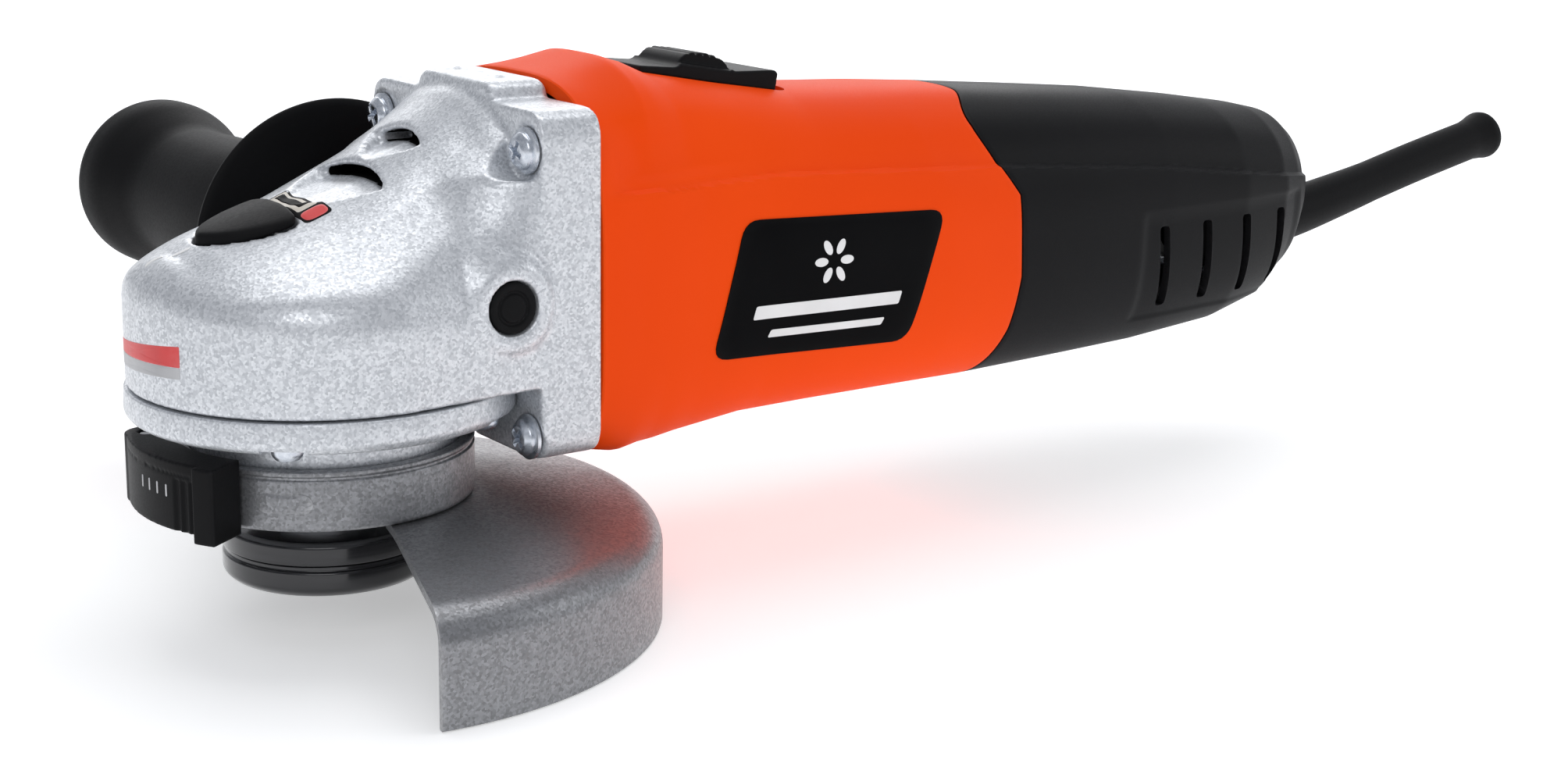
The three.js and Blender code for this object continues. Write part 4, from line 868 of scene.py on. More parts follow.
def makeMotorShell():
    wall = barrelForm["wall"]
    front, rear = partX + 0.3, capX
    lipXs = [front, front + 0.12, front + 0.45]
    rearXs = [rear - 0.45, rear - 0.12, rear]
    outerXs = lipXs + list(np.arange(front + 1.2, rear - 1, 1.0)) + rearXs
    outerInsets = [0.7, 0.2, 0.0] + [0.0] * (len(outerXs) - 6) + [0.0, 0.1, 0.35]
    innerXs = [rear, *np.arange(rear - 3, front + 3, -3.0), front]
    rings = shellRings(outerXs + innerXs, outerInsets + [wall] * len(innerXs))
    shell = skin("motor_shell", rings, loop=True)
    tilt = slideTilt

    def onSlope(outline):
        return [(slideX + u * math.cos(tilt) + w * math.sin(tilt),
                 slideZ - u * math.sin(tilt) + w * math.cos(tilt))
                for u, w in outline]

    half = span("switch_slider")[1][1] + 0.5
    tray = prism("tray", onSlope([(-11, -2.9), (40, -2.9), (40, -1.7), (-11, -1.7)]), "y", -half - 3,
                 half + 3)
    inside = skin("inside", shellRings(np.arange(front + 1, rear - 1, 2.0), [0.4] * 200))
    carve(tray, inside, how="INTERSECT")
    unite(shell, tray)
    corners = roundedRect(-8.8, 38.4, -half, half, 2.5, 6)
    bed = prism("bed", [(u, v) for u, v in corners], "z", -1.6, 14)
    bed.data.transform(Matrix.Rotation(tilt, 4, "Y"))
    bed.data.transform(Matrix.Translation(Vector((slideX, 0, slideZ)) * mm))
    carve(shell, bed)
    slot = prism("slot", onSlope([(7.4, -12), (30.6, -12), (30.6, 2), (7.4, 2)]), "y", -4.5, 4.5)
    carve(shell, slot)
    return finishPiece(shell, "root", orangeShell, ["motor_housing"], sharp=30)


motorShell = makeMotorShell()

ventForm = {"xs": [205.5, 221, 236, 251], "low": 35.0, "high": 55.0, "half": 1.7, "lean": 1.2}


def makeRearShell(side, name):
    wall = barrelForm["wall"]
    front, rear = capX + 0.3, span("rear_cover_left")[1][0]
    outerXs = [rear, rear - 0.2, rear - 0.8, rear - 1.8, *np.arange(rear - 3.0, front + 1, -1.1),
               front + 0.45, front + 0.12, front]
    outerInsets = [0.0] * (len(outerXs) - 3) + [0.0, 0.1, 0.35]
    innerXs = [front, *np.arange(front + 3, rear - 5, 3.0)]
    rings = shellRings(outerXs + innerXs, outerInsets + [wall] * len(innerXs))
    for x, ring in zip(outerXs, rings):
        # A sunk panel round the air slots.
        panel = ease(x, 196, 198.5) * (1 - ease(x, 258, 261))
        band = ease(ring[:, 2], 31.5, 33) * (1 - ease(ring[:, 2], 57.5, 59))
        ring[:, 1] -= np.sign(ring[:, 1]) * 0.55 * panel * band
    shell = skin(name, rings)
    y0, y1 = (-60, -0.15) if side < 0 else (0.15, 60)
    carve(shell, prism("half", [(100, 0), (400, 0), (400, 120), (100, 120)], "y", y0, y1),
          how="INTERSECT")
    carve(shell, cylinder("cordHole", "x", 8.3, rear - 14, rear + 5, (0, middle("cord_clamp")[2] - 7.1)))
    reach = (-40, -15) if side < 0 else (15, 40)
    for x in ventForm["xs"]:
        lean, half = ventForm["lean"], ventForm["half"]
        outline = [(x - half + lean, ventForm["low"]), (x + half + lean, ventForm["low"]),
                   (x + half - lean, ventForm["high"]), (x - half - lean, ventForm["high"])]
        carve(shell, prism("vent", softCorners(outline, 1.2, 5, True), "y", *reach))
    for i in range(1, 4):
        x, _, z = middle(f"rear_cover_screw_{i}")
        if side > 0:
            carve(shell, cylinder("well", "y", 3.5, 12, 40, (x, z), 48))
    return finishPiece(shell, "root", blackShell,
                       [f"rear_cover_{'left' if side < 0 else 'right'}"], 30)


makeRearShell(-1, "rear_shell_left")
makeRearShell(1, "rear_shell_right")


# ---- screws, set on points by one node tree

def pointTree():
    tree = bpy.data.node_groups.new("set on points", "GeometryNodeTree")
    tree.is_modifier = True
    for label, kind, way in (("Geometry", "NodeSocketGeometry", "INPUT"),
                             ("Part", "NodeSocketObject", "INPUT"),
                             ("Size", "NodeSocketFloat", "INPUT"),
                             ("Turn Spread", "NodeSocketFloat", "INPUT"),
                             ("Seed", "NodeSocketInt", "INPUT"),
                             ("Finish", "NodeSocketMaterial", "INPUT"),
                             ("Geometry", "NodeSocketGeometry", "OUTPUT")):
        tree.interface.new_socket(label, in_out=way, socket_type=kind)
    given, put = tree.nodes.new("NodeGroupInput"), tree.nodes.new("NodeGroupOutput")
    facing = addNode(tree, "GeometryNodeInputNamedAttribute", {"Name": "facing"},
                     data_type="FLOAT_VECTOR")
    aim = addNode(tree, "FunctionNodeAlignRotationToVector", axis="Z")
    tree.links.new([s for s in facing.outputs if s.enabled][0], aim.inputs["Vector"])
    upright = addNode(tree, "FunctionNodeAlignRotationToVector", {"Vector": (0.0, 0.0, 1.0)}, axis="X",
                      pivot_axis="Z")
    tree.links.new(aim.outputs[0], upright.inputs["Rotation"])
    chance = addNode(tree, "FunctionNodeRandomValue", data_type="FLOAT")
    spread = [s for s in chance.inputs if s.enabled]
    spread[0].default_value = 0.0
    tree.links.new(given.outputs["Turn Spread"], spread[1])
    tree.links.new(given.outputs["Seed"], chance.inputs["Seed"])
    turn = addNode(tree, "FunctionNodeAxisAngleToRotation", {"Axis": (0.0, 0.0, 1.0)})
    tree.links.new([s for s in chance.outputs if s.enabled][0], turn.inputs["Angle"])
    both = addNode(tree, "FunctionNodeRotateRotation", rotation_space="LOCAL")
    tree.links.new(upright.outputs[0], both.inputs[0])
    tree.links.new(turn.outputs[0], both.inputs[1])
    part = addNode(tree, "GeometryNodeObjectInfo", {"Object": given.outputs["Part"]})
    spots = addNode(tree, "GeometryNodeInstanceOnPoints", {"Points": given.outputs["Geometry"],
                                                           "Instance": part.outputs["Geometry"]})
    tree.links.new(both.outputs[0], spots.inputs["Rotation"])
    tree.links.new(given.outputs["Size"], spots.inputs["Scale"])
    real = addNode(tree, "GeometryNodeRealizeInstances", {"Geometry": spots.outputs[0]})
    dressed = addNode(tree, "GeometryNodeSetMaterial", {"Geometry": real.outputs[0],
                                                        "Material": given.outputs["Finish"]})
    tree.links.new(dressed.outputs[0], put.inputs[0])
    return tree


onPoints = pointTree()


# Sets copies of a part on points that face given ways, as one mesh.
def setOnPoints(name, part, places, ways, finish, size=1.0, turnSpread=0.0, seed=3):
    mesh = bpy.data.meshes.new(name)
    mesh.from_pydata((np.asarray(places, float) * mm).tolist(), [], [])
    facing = mesh.attributes.new("facing", "FLOAT_VECTOR", "POINT")
    facing.data.foreach_set("vector", np.asarray(ways, float).ravel())
    piece = bpy.data.objects.new(name, mesh)
    tool = piece.modifiers.new("set", "NODES")
    tool.node_group = onPoints
    values = {"Part": part, "Size": size, "Turn Spread": turnSpread, "Seed": seed, "Finish": finish}
    for item in onPoints.interface.items_tree:
        if item.item_type == "SOCKET" and item.in_out == "INPUT" and item.name in values:
            tool[item.identifier] = values[item.name]
    bpy.context.scene.collection.objects.link(piece)
    settle(piece)
    bpy.data.objects.remove(part)
    return piece


# A pan head screw with a cross recess and a washer. It stands on its seat and faces up.
def panHead(form):
    radius, height = form["radius"], form["height"]
    rings, around = 30, 96
    angles = np.linspace(0, 2 * math.pi, around, endpoint=False)
    points = []
    washer = form.get("washer", 0)
    outline = [(form["shank"], -form["length"]), (form["shank"], -0.2)]
    if washer:
        outline += [(washer, -0.2), (washer, 0.5), (radius + 0.2, 0.7)]
    outline += [(radius, 0.8 if washer else -0.2)]
    side = softCorners([*outline, (radius, height * 0.55), (radius * 0.72, height * 0.95),
                        (radius * 0.5, height)],
                       [0] * len(outline) + [0.9, 0.8, 0], 6)
    rows = [(r, z, False) for r, z in side]
    rows += [(radius * 0.5 * s, height, True) for s in np.linspace(1, 0.02, rings)[1:]]
    for r, z, topped in rows:
        for a in angles:
            x, y = r * math.cos(a), r * math.sin(a)
            drop = 0.0
            if topped or r < radius * 0.75:
                arm = min(abs(x), abs(y))
                reach = max(abs(x), abs(y))
                drop = 1.4 * (1 - ease(arm, 0.34, 0.62)) * (1 - ease(reach, radius * 0.5, radius * 0.62))
            points.append((x, y, z - drop))
    faces = gridFaces(len(rows), around, False, True)
    faces += [list(range(around)), list(range((len(rows) - 1) * around, len(rows) * around))]
    return addPiece("panHead", points, faces)


screwForm = {"radius": 3.7, "height": 2.7, "washer": 4.5, "shank": 2.0, "length": 3.0}
housingSeats = [(flangeFront - 0.05, y, z) for y, z in screwPlaces]
housingScrews = setOnPoints("housing_screws", panHead(screwForm), housingSeats, [(-1, 0, 0)] * 4,
                            zincPlate,
                            turnSpread=3.0)
finishPiece(housingScrews, "root", zincPlate, [f"housing_screw_{i}" for i in range(1, 5)], 40)
coverSeats = [(*middle(f"cover_screw_{i}")[:2], 34.2) for i in range(1, 5)]
coverScrews = setOnPoints("cover_screws", panHead({"radius": 3.0, "height": 2.4, "shank": 1.8,
                                                   "length": 3.0}),
                          coverSeats, [(0, 0, -1)] * 4, zincPlate, turnSpread=3.0, seed=5)
finishPiece(coverScrews, "root", zincPlate, [f"cover_screw_{i}" for i in range(1, 5)], 40)
rearSeats = [(middle(f"rear_cover_screw_{i}")[0], 12.3,
              middle(f"rear_cover_screw_{i}")[2]) for i in range(1, 4)]
rearScrews = setOnPoints("rear_cover_screws", panHead({"radius": 2.9, "height": 2.2, "shank": 1.6,
                                                       "length": 20.0}),
                         rearSeats, [(0, 1, 0)] * 3, zincPlate, turnSpread=3.0, seed=8)
finishPiece(rearScrews, "root", zincPlate, [f"rear_cover_screw_{i}" for i in range(1, 4)], 40)


# ---- guard, clamp band and lever

def makeGuard():
    low, high = span("guard_shell")
    edgeR, outR, sheet = 63.2, 67.2, 1.8
    topZ, plateZ, skirtZ = high[2], high[2] - 4.8, low[2]
    profile = [(24, topZ), (31, topZ), (edgeR, plateZ), (outR, plateZ - 4), (outR, skirtZ),
               (outR - sheet, skirtZ), (outR - sheet, plateZ - 4.4), (edgeR - 0.8, plateZ - sheet),
               (31, topZ - sheet), (24, topZ - sheet)]
    radii = [0.3, 3, 4.5, 4.5, 0.6, 0.6, 3.5, 3.5, 3, 0.3]
    guard = turned("guard_dish", softCorners(profile, radii, 7, True), "z", segments=280)
    keep = [(0, -80), (0.2, -66), (4.5, -24), (4.5, 24), (0.2, 66), (0, 80), (80, 80), (80, -80)]
    turn = math.radians(-9)
    keep = [(x * math.cos(turn) - y * math.sin(turn), x * math.sin(turn) + y * math.cos(turn)) for x,
            y in keep]
    carve(guard, prism("keep", keep, "z", -30, 40), how="INTERSECT")
    return finishPiece(guard, "guard", guardLacquer, ["guard_shell"], 32)


def makeBand():
    low, high = span("clamp_band")
    z0, z1, inner, outer = low[2], high[2], 27.0, 29.4
    profile = [(inner, z0), (outer - 0.5, z0), (outer, z0 + 0.6), (outer, z1 - 1.9),
               (outer - 0.35, z1 - 1.6),
               (outer - 0.35, z1 - 1.2), (outer, z1 - 0.9), (outer, z1), (inner, z1)]
    band = turned("clamp_band_ring", softCorners(profile, [0.3, 0.3, 0.5, 0.2, 0.1, 0.1, 0.2, 0.4, 0.3],
                                                 4, True), "z",
                  segments=220)
    slit = [(math.cos(math.radians(8)) * x - math.sin(math.radians(8)) * y,
             math.sin(math.radians(8)) * x + math.cos(math.radians(8)) * y)
            for x, y in ((-40, -2), (-20, -2), (-20, 2), (-40, 2))]
    carve(band, prism("slit", slit, "z", 0, 40))
    pin = middle("lever_pin")
    lug = turned("lug", softCorners([(0, 20), (3.4, 20), (3.4, 26), (0, 26)], [0, 0.5, 0.5, 0], 4), "z",
                 pin[:2], 64)
    web = np.array(pin[:2]) * 0.88
    out = web / np.linalg.norm(web)
    across = np.array([-out[1], out[0]])
    bar = [web - out * 3 - across * 3.2, web + out * 4 - across * 3.2, web + out * 4 + across * 3.2,
           web - out * 3 + across * 3.2]
    unite(lug, prism("web", bar, "z", 20, 26))
    carve(lug, cylinder("neckWay", "z", 27.2, 0, 40))
    unite(band, lug)
    carve(band, cylinder("pinHole", "z", 1.8, 0, 40, pin[:2], 48))
    return finishPiece(band, "guard", guardLacquer, ["clamp_band"], 32)


makeGuard()
band = makeBand()


def polar(radius, degrees):
    return np.array([radius * math.cos(math.radians(degrees)), radius * math.sin(math.radians(degrees))])


def arcOutline(inner, outer, start, end, steps=40):
    angles = np.linspace(start, end, steps)
    return [polar(outer, a) for a in angles] + [polar(inner, a) for a in angles[::-1]]


leverForm = {"inner": 30.0, "outer": 38.0, "from": 160, "to": 213, "low": 16.6, "high": 30.1, "ticks": 4}


def makeLever():
    pin = middle("lever_pin")
    form = leverForm
    lever = prism("guard_lever_arm", arcOutline(form["inner"], form["outer"], form["from"], form["to"]),
                  "z",
                  form["low"], form["high"])
    unite(lever, cylinder("eye", "z", 4.4, form["low"], form["high"], pin[:2], 64))
    tab = arcOutline(form["inner"] + 0.3, form["outer"] + 1.2, form["to"] - 7, form["to"])
    unite(lever, prism("tab", tab, "z", form["low"] - 1.2, form["high"]))
    room = prism("room", arcOutline(24, math.hypot(pin[0], pin[1]) + 0.6, 144, 170), "z", 19.7, 26.3)
    carve(lever, room)
    carve(lever, cylinder("eyeRoom", "z", 4.1, 19.7, 26.3, pin[:2], 48))
    out, across = polar(1, 160), polar(1, 250)
    bar = [out * 24 - across * 9, out * 34 - across * 9, out * 34 + across * 5, out * 24 + across * 5]
    carve(lever, prism("sideRoom", bar, "z", 19.7, 26.3))
    carve(lever, cylinder("bandRoom", "z", 30.0, 0, 40, segments=160))
    carve(lever, cylinder("pinHole", "z", 1.8, 18.1, 40, pin[:2], 48))
    # A groove round the top and finger grooves beside the tab.
    carve(lever, prism("groove", arcOutline(form["outer"] - 0.6, form["outer"] + 3, 165, 204), "z", 27.4,
                       28.1))
    for angle in (198.5, 201.5, 204.5):
        dent = polar(form["outer"] + 0.5, angle)
        carve(lever, cylinder("dent", "z", 0.95, 14, 27, dent, 32))
    cast(lever, 0.3, 4)
    finishPiece(lever, "lever", blackShell, ["guard_lever"], None)
    return lever


lever = makeLever()


# Small moulded marks on the lever's face: short upright bars.
def makeLeverMarks():
    bar = prism("bar", roundedRect(-1.2, 1.2, -0.22, 0.22, 0.2, 3), "z", -0.1, 0.22, 0.05, 2)
    angles = np.linspace(181, 194, leverForm["ticks"])
    places = [(*polar(leverForm["outer"] - 0.12, a), 24.2) for a in angles]
    ways = [(*polar(1, a), 0) for a in angles]
    marks = setOnPoints("lever_marks", bar, places, ways, stickerGrey)
    finishPiece(marks, "lever", stickerGrey)


makeLeverMarks()


# ---- wheel flanges and spindle

def makeFlanges():
    for name, node, radius, dip in (("backing_flange", "inner_flange", 20.8, 0.9),
                                    ("clamp_nut", "outer_flange", 20.8, 1.5)):
        low, high = span(node)
        z0, z1 = low[2], high[2]
        if node == "outer_flange":
            profile = [(7.3, z0), (radius - dip, z0), (radius, z0 + dip), (radius, z1 - 1.2),
                       (radius - 0.6, z1 - 0.8),
                       (radius - 0.6, z1), (7.3, z1)]
            radii = [0.5, 0.8, 0.8, 0.3, 0.2, 0.2, 0.3]
        else:
            profile = [(7.3, z0), (radius, z0), (radius, z1 - dip), (radius - dip, z1), (7.3, z1)]
            radii = [0.3, 0.3, 0.5, 0.5, 0.3]
        flange = turned(name, softCorners(profile, radii, 5, True), "z", segments=200)
        if node == "outer_flange":
            for x in (-15, 15):
                carve(flange, turned("pinHole", [(0, -1), (2.9, -1), (2.5, 0.5), (2.5, 3.5), (0, 3.5)],
                                     "z", (x, 0), 48))
        finishPiece(flange, "spindle", blackedSteel, [node], 30)


# The threaded nose: a helix cut into the lower part.
def makeSpindle():
    low, high = span("spindle")
    shoulderZ, bearingZ, pitch, depth = 11.5, 29.0, 2.0, 0.55
    heights = np.concatenate([[0, 0.05, 0.8], np.arange(0.95, shoulderZ - 0.4, 0.16)])
    lower = [(0, 0), (6.2, 0), (6.3, 0.05)] + [(7.0, h) for h in heights[2:]]
    upper = [(7.0, shoulderZ), (9.5, shoulderZ), (9.5, bearingZ - 2.2), (8, bearingZ - 0.4),
             (6, bearingZ - 0.4),
             (6, 57), (5, 57), (5, high[2] - 0.6), (4.4, high[2]), (0, high[2])]

    def threadWave(r, h, angle):
        phase = (h / pitch - angle / (2 * math.pi)) % 1.0
        ridge = np.abs(phase - 0.5) * 2
        fade = ease(h, 0.5, 1.6) * (1 - ease(h, shoulderZ - 1.8, shoulderZ - 0.8))
        return np.where((r > 6.9) & (r < 7.1) & (h < shoulderZ - 0.3), r - depth * (1 - ridge) * fade, r)

    spindle = turned("wheel_spindle", lower + upper, "z", segments=96, wave=threadWave)
    return finishPiece(spindle, "spindle", turnedSteel, ["spindle"], 50)


makeFlanges()
makeSpindle()


# ---- side handle and plug

def makeHandle():
    low, high = span("handle_grip")
    start, end = low[1], high[1]
    profile = [(0, start), (10.5, start), (10.5, 40), (24, 39.8), (30.4, 39.2), (31.6, 39.8),
               (31.2, 41.4), (27, 43.4),
               (18.5, 47), (16.3, 53), (15.4, 62), (15.9, 72), (16.3, 84), (16.1, 100), (15.4, 117),
               (18, 124),
               (20.3, 130.5), (20.3, 138.5), (18.3, 142.6), (13, end), (0, end)]
    radii = [0, 0.6, 0.5, 2, 0.8, 0.8, 0.8, 3, 5, 6, 6, 6, 6, 8, 6, 5, 5, 4, 2.5, 3, 0]
    path = softCorners(profile, radii, 8)
    grip = turned("side_handle", path, "y", (handleX, handleZ), 200)
    carve(grip, cylinder("studHole", "y", 4.3, 30, 70, (handleX, handleZ), 48))
    return finishPiece(grip, "root", softBlack, ["handle_grip"], 40)


def makePlug():
    face = -span("handle_hole_plug")[0][1]
    profile = [(0, -face), (2.6, -face), (2.9, -face + 0.35), (3.3, -face + 0.35), (3.6, -face),
               (4.7, -face),
               (5.1, -face + 0.4), (5.1, -face + 1.6), (3.8, -face + 2), (3.5, -27), (0, -27)]
    plug = turned("stud_hole_plug", softCorners(profile, [0, .15, .1, .1, .15, .3, .3, .3, .2, 0, 0], 4),
                  "y",
                  (handleX, handleZ), 96)
    return finishPiece(plug, "root", softBlack, ["handle_hole_plug"], 40)


makeHandle()
makePlug()


# ---- lock button

def makeButton():
    outline = buttonOutline(0, 7)
    middleX = buttonForm["middle"]
    rows = []
    lowDrop = buttonForm["thick"] - buttonForm["proud"]
    for share, level, kind in [(1e-3, 0, "low"), (0.5, 0, "low"), (0.985, 0, "low"), (1, 0.3, "low"),
                               (1, -0.9, "top"),
                               (0.985, -0.45, "top"), (0.95, -0.15, "top"), (0.9, -0.03, "top"),
                               (0.8, 0, "top"),
                               (0.6, 0, "top"), (0.4, 0, "top"), (0.2, 0, "top"), (1e-3, 0, "top")]:
        ring = []
        for x, y in outline:
            px, py = middleX + (x - middleX) * share, y * share
            if kind == "low":
                z = crestAt(px) - lowDrop + level
            else:
                z = crestAt(px) + buttonForm["proud"] - buttonForm["crown"] * py * py + level
            ring.append((px, py, z))
        rows.append(ring)
    button = skin("lock_button_cap", rows)
    return finishPiece(button, "lock", softBlack, ["lock_button"], 40)


makeButton()


# ---- slide switch

def makeSlider():
    tilt, half = slideTilt, span("switch_slider")[1][1]
    side = [(0, -1.3), (35.4, -1.3), (35.4, 2.9), (34.4, 3.35), (23.6, 1.8), (22.2, 3.5), (18.4, 4.8),
            (12.8, 4.5),
            (11, 3.3), (9.6, 1.0), (0, 0.25)]
    side = softCorners(side, [0.3, 0.5, 0.8, 1.5, 2.5, 1.2, 3, 2, 1.2, 2.5, 0.3], 6, True)
    slider = prism("switch_slide", side, "y", -half, half)
    unite(slider, prism("stem", [(16, -5.8), (30, -5.8), (30, -0.6), (16, -0.6)], "y", -4, 4))
    for u in (12.4, 14.2, 16, 17.8, 19.6):
        carve(slider, prism("rib", [(u, 4.0), (u + 0.7, 4.0), (u + 0.9, 6), (u - 0.2, 6)], "y",
                            -half - 1, half + 1))
    for sign in (-1, 1):
        trim = [(9.4, 1.9), (23.4, 1.9), (23.4, 8), (9.4, 8)]
        carve(slider, prism("trim", trim, "y", *sorted((sign * (half - 1.6), sign * (half + 2)))))
    slider.data.transform(Matrix.Rotation(tilt, 4, "Y"))
    slider.data.transform(Matrix.Translation(Vector((slideX, 0, slideZ)) * mm))
    cast(slider, 0.28, 3)
    return finishPiece(slider, "slide", blackShell, ["switch_slider"], None)


makeSlider()


# ---- cord sleeve

def makeSleeve():
    rear = span("rear_cover_left")[1][0]
    sleeveZ = 46.0
    knots = np.array([(rear - 16, sleeveZ), (rear + 6, sleeveZ + 0.3), (rear + 32, sleeveZ + 4.6),
                      (rear + 62, sleeveZ + 10.8),
                      (363.6, 62.6)])
    steps = 110
    where = np.linspace(0, 1, steps)
    path = spline(np.linspace(0, 1, len(knots)), knots, where)
    ways = np.gradient(path, axis=0)
    ways /= np.linalg.norm(ways, axis=1)[:, None]
    rings = []
    angles = np.linspace(0, 2 * math.pi, 64, endpoint=False)

    def ringAt(point, way, radius):
        up = np.array([-way[1], way[0]])
        return [(point[0] + up[0] * radius * math.sin(a), radius * math.cos(a),
                 point[1] + up[1] * radius * math.sin(a))
                for a in angles]

    for t, point, way in zip(where, path, ways):
        radius = np.interp(t, [0, 0.59, 0.94, 0.97, 0.985, 0.997, 1.0],
                           [7.8, 5.6, 5.6, 6.2, 6.7, 6.7, 6.4])
        rings.append(ringAt(point, way, radius))
    for depth, radius in ((0.1, 4.6), (0.6, 4.0), (3.0, 3.7), (8.0, 3.7)):
        i = steps - 1
        rings.append(ringAt(path[i] - ways[i] * depth, ways[i], radius))
    sleeve = skin("cord_sleeve_boot", rings)
    unite(sleeve, cylinder("collar", "x", 10.2, rear - 16, rear - 12.6, (0, sleeveZ), 96))
    return finishPiece(sleeve, "root", softBlack, ["cord_sleeve"], 40)


makeSleeve()


# ---- plates and stickers, laid on the surfaces

shellSurface, headSurface, bandSurface = surfaceOf(motorShell), surfaceOf(head), surfaceOf(band)


def fromLeft(flat):
    starts = [(u, -60, v) for u, v in flat]
    return starts, [(0, 1, 0)] * len(starts)


def fromAbove(flat):
    starts = [(u, v, 120) for u, v in flat]
    return starts, [(0, 0, -1)] * len(starts)


def fromFront(flat):
    # u is the angle round the spindle in degrees, v the height.
    starts = [(*polar(60, u), v) for u, v in flat]
    return starts, [(*(-polar(1, u)), 0) for u, v in flat]


plateForm = {"corners": [(70.6, 39.9), (123, 37.6), (132.4, 66), (78.5, 68.4)], "corner": 4.0,
             "thick": 0.35}


def dense(outline, radius=0.0, step=0.8):
    outline = softCorners(outline, radius, 6, loop=True) if radius else np.asarray(outline, float)
    points = []
    for here, there in zip(outline, np.roll(outline, -1, axis=0)):
        count = max(1, int(np.linalg.norm(there - here) / step))
        points += [here + (there - here) * i / count for i in range(count)]
    return np.array(points)


plate = laidOn("name_plate", shellSurface, dense(plateForm["corners"], plateForm["corner"]), fromLeft,
               plateForm["thick"], rings=10)
finishPiece(plate, "root", plateBlack, ["label_plate"], 50)
plateSurface = surfaceOf(plate)


# A plain mark on the plate: a ring of petals over two bars.
def plateMarks():
    centre = np.array([101.5, 57.8])
    for i in range(6):
        turn = i * math.pi / 3
        spot = centre + np.array([math.cos(turn), math.sin(turn)]) * 3.4
        petal = [(spot[0] + 1.75 * math.cos(a) * math.cos(turn) - 0.95 * math.sin(a) * math.sin(turn),
                  spot[1] + 1.75 * math.cos(a) * math.sin(turn) + 0.95 * math.sin(a) * math.cos(turn))
                 for a in np.linspace(0, 2 * math.pi, 28, endpoint=False)]
        made = laidOn(f"plate_petal_{i + 1}", plateSurface, petal, fromLeft, 0.06, rings=3)
        finishPiece(made, "root", plateWhite)
    for i, (u0, u1, v0, v1) in enumerate([(80.5, 119.5, 47.4, 50.2), (84.5, 115, 43.2, 44.8)]):
        bar = dense([(u0, v0), (u1, v0 - 0.9), (u1 + 0.9, v1 - 0.9), (u0 + 0.9, v1)], 0.5, 1.0)
        made = laidOn(f"plate_bar_{i + 1}", plateSurface, bar, fromLeft, 0.06, rings=3)
        finishPiece(made, "root", plateWhite)


plateMarks()

noseBands = [("nose_band_red", [(159.5, 46.9), (201.5, 48.4), (201.5, 52.4), (159.5, 49.2)], stickerRed),
             ("nose_band_grey", [(159.5, 44.3), (201.5, 46.2), (201.5, 48.3), (159.5, 46.8)],
              stickerGrey)]
for name, outline, finish in noseBands:
    strip = laidOn(name, headSurface, dense(outline, 0.3, 1.2), fromFront, 0.08, rings=4)
    finishPiece(strip, "root", finish)

topStickers = [
    ("top_sticker_edge", [(-8.6, 7.2), (-3.0, 7.8), (-3.0, -12.6), (-8.6, -12.4)], 1.2, 0.14, plateBlack),
    ("top_sticker_face", [(-7.9, 6.5), (-3.7, 7.0), (-3.7, -7.6), (-7.9, -7.6)], 0.6, 0.2, stickerCream),
    ("top_sticker_end", [(-8.2, -8.2), (-3.4, -8.2), (-3.4, -12.2), (-8.2, -12.0)], 1.6, 0.22,
     stickerRed),
    ("top_sticker_bar", [(-6.9, 5.4), (-4.7, 5.6), (-4.7, -5.8), (-6.9, -5.8)], 0.4, 0.36, plateBlack),
    # The last two are small raised marks near the nose, coloured white as painted highlights.
    ("top_tick_left", [(-34.4, 2.7), (-31.3, 1.5), (-31.0, 2.3), (-34.0, 3.5)], 0.2, 0.2, plateWhite),
    ("top_tick_right", [(-30.2, -0.2), (-27.1, -1.4), (-26.8, -0.6), (-29.8, 0.6)], 0.2, 0.14,
     plateWhite),
]
for name, outline, corner, thick, finish in topStickers:
    sticker = laidOn(name, headSurface, dense(outline, corner, 0.5), fromAbove, thick, rings=8)
    finishPiece(sticker, "root", finish)

# A stadium-shaped mark pressed proud of the band, beside the lever.
stadium = [(math.copysign(3.2, math.cos(a)) * 2 + 4.2 * math.cos(a) + 229, 21.8 + 1.9 * math.sin(a))
           for a in np.linspace(0, 2 * math.pi, 48, endpoint=False)]
bandMark = laidOn("band_mark", bandSurface, stadium, fromFront, 0.3, rings=4, soft=0.6)
finishPiece(bandMark, "guard", guardLacquer)
print("plates and stickers laid")


# ---- floor, light and camera

floorForm = {"z": cadBox[0][2] - 0.0002, "half": 3.0, "back": 1.6, "bend": 0.9, "rise": 2.5}


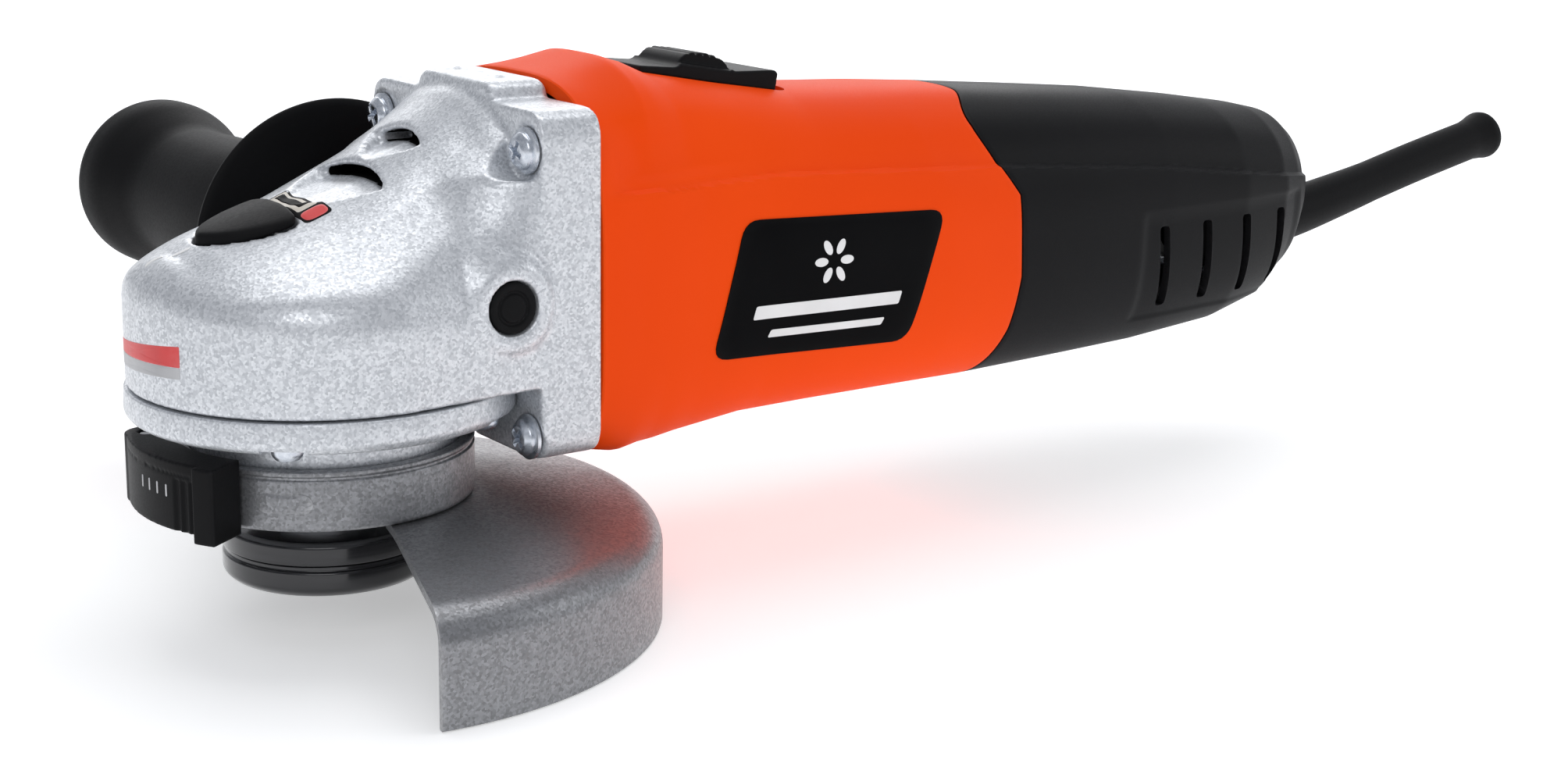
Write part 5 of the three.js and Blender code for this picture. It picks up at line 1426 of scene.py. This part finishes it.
def makeFloor():
    line = [(-3.0, 0.0), (floorForm["back"], 0.0), (floorForm["back"] + floorForm["bend"],
                                                    floorForm["rise"] * 0.36),
            (floorForm["back"] + floorForm["bend"] + 0.1, floorForm["rise"])]
    path = softCorners(line, [0, 0.9, 0.8, 0], 16)
    points, width = [], 40
    for y, z in path:
        for x in np.linspace(-floorForm["half"], floorForm["half"], width):
            points.append((x, y, z + floorForm["z"]))
    floor = addPiece("floor", np.array(points) / mm, gridFaces(len(path), width))
    turn = math.radians(-37.35)
    floor.data.transform(Matrix.Rotation(turn, 4, "Z"))
    finish, tree, surface, place = newFinish("paleFloor")
    soil = useGroup(tree, grain, {"Place": place, "Grain": 60.0, "Patches": 2.0})
    tint = blendColour(tree, remap(tree, soil["Patch"], 0.3, 0.7, 0.0, 1.0), (0.86, 0.86, 0.86),
                       (0.9, 0.9, 0.9))
    tree.links.new(tint, surface.inputs["Base Color"])
    tree.links.new(remap(tree, soil["Height"], 0.3, 0.7, 0.75, 0.85), surface.inputs["Roughness"])
    surface.inputs["Specular IOR Level"].default_value = 0.1
    tree.links.new(tint, surface.inputs["Emission Color"])
    surface.inputs["Emission Strength"].default_value = 0.45
    floor.data.materials.append(finish)
    floor.data.polygons.foreach_set("use_smooth", [True] * len(floor.data.polygons))
    if sum(p.normal.z for p in floor.data.polygons) < 0:
        floor.data.flip_normals()


makeFloor()

# Where the camera stands, and which way its right, its top and its back face.
view = {"place": (-0.19362, -0.41089, 0.15208), "right": (0.79774, -0.60266, 0.02045),
        "up": (0.12269, 0.19541, 0.97302), "back": (-0.59039, -0.77370, 0.22983),
        "lens": 53.145, "shiftX": -0.0142, "shiftY": -0.0275}


def makeCamera():
    lens = bpy.data.cameras.new("camera")
    lens.lens, lens.sensor_width = view["lens"], 36
    lens.shift_x, lens.shift_y = view["shiftX"], view["shiftY"]
    lens.clip_start, lens.clip_end = 0.01, 50
    camera = bpy.data.objects.new("camera", lens)
    turn = Matrix([view[side] for side in ("right", "up", "back")]).transposed().to_4x4()
    camera.matrix_world = Matrix.Translation(view["place"]) @ turn
    bpy.context.scene.collection.objects.link(camera)
    bpy.context.scene.camera = camera


def softbox(name, place, target, size, power, colour=(1, 1, 1)):
    light = bpy.data.lights.new(name, "AREA")
    light.shape, light.size, light.size_y = "RECTANGLE", size[0], size[1]
    light.energy, light.color = power, colour
    lamp = bpy.data.objects.new(name, light)
    way = Vector(target) - Vector(place)
    lamp.rotation_euler = way.to_track_quat("-Z", "Y").to_euler()
    lamp.location = place
    bpy.context.scene.collection.objects.link(lamp)


makeCamera()
softbox("keySoftbox", (-0.9, -1.3, 1.1), (0.08, 0, 0.04), (1.0, 0.8), 5.5)
softbox("topSoftbox", (0.3, 0.2, 1.5), (0.12, 0, 0.04), (1.4, 1.0), 8.5)
softbox("sideSoftbox", (1.5, -0.9, 0.7), (0.15, 0, 0.04), (0.8, 0.8), 3)
softbox("backSoftbox", (0.9, 1.5, 0.9), (0.12, 0, 0.05), (1.4, 0.6), 6)

world = bpy.data.worlds.new("studio")
world.use_nodes = True
world.node_tree.nodes["Background"].inputs["Color"].default_value = (0.9, 0.93, 1.0, 1)
world.node_tree.nodes["Background"].inputs["Strength"].default_value = 0.42
bpy.context.scene.world = world
bpy.context.scene.view_settings.view_transform = "Standard"
print("stage set")
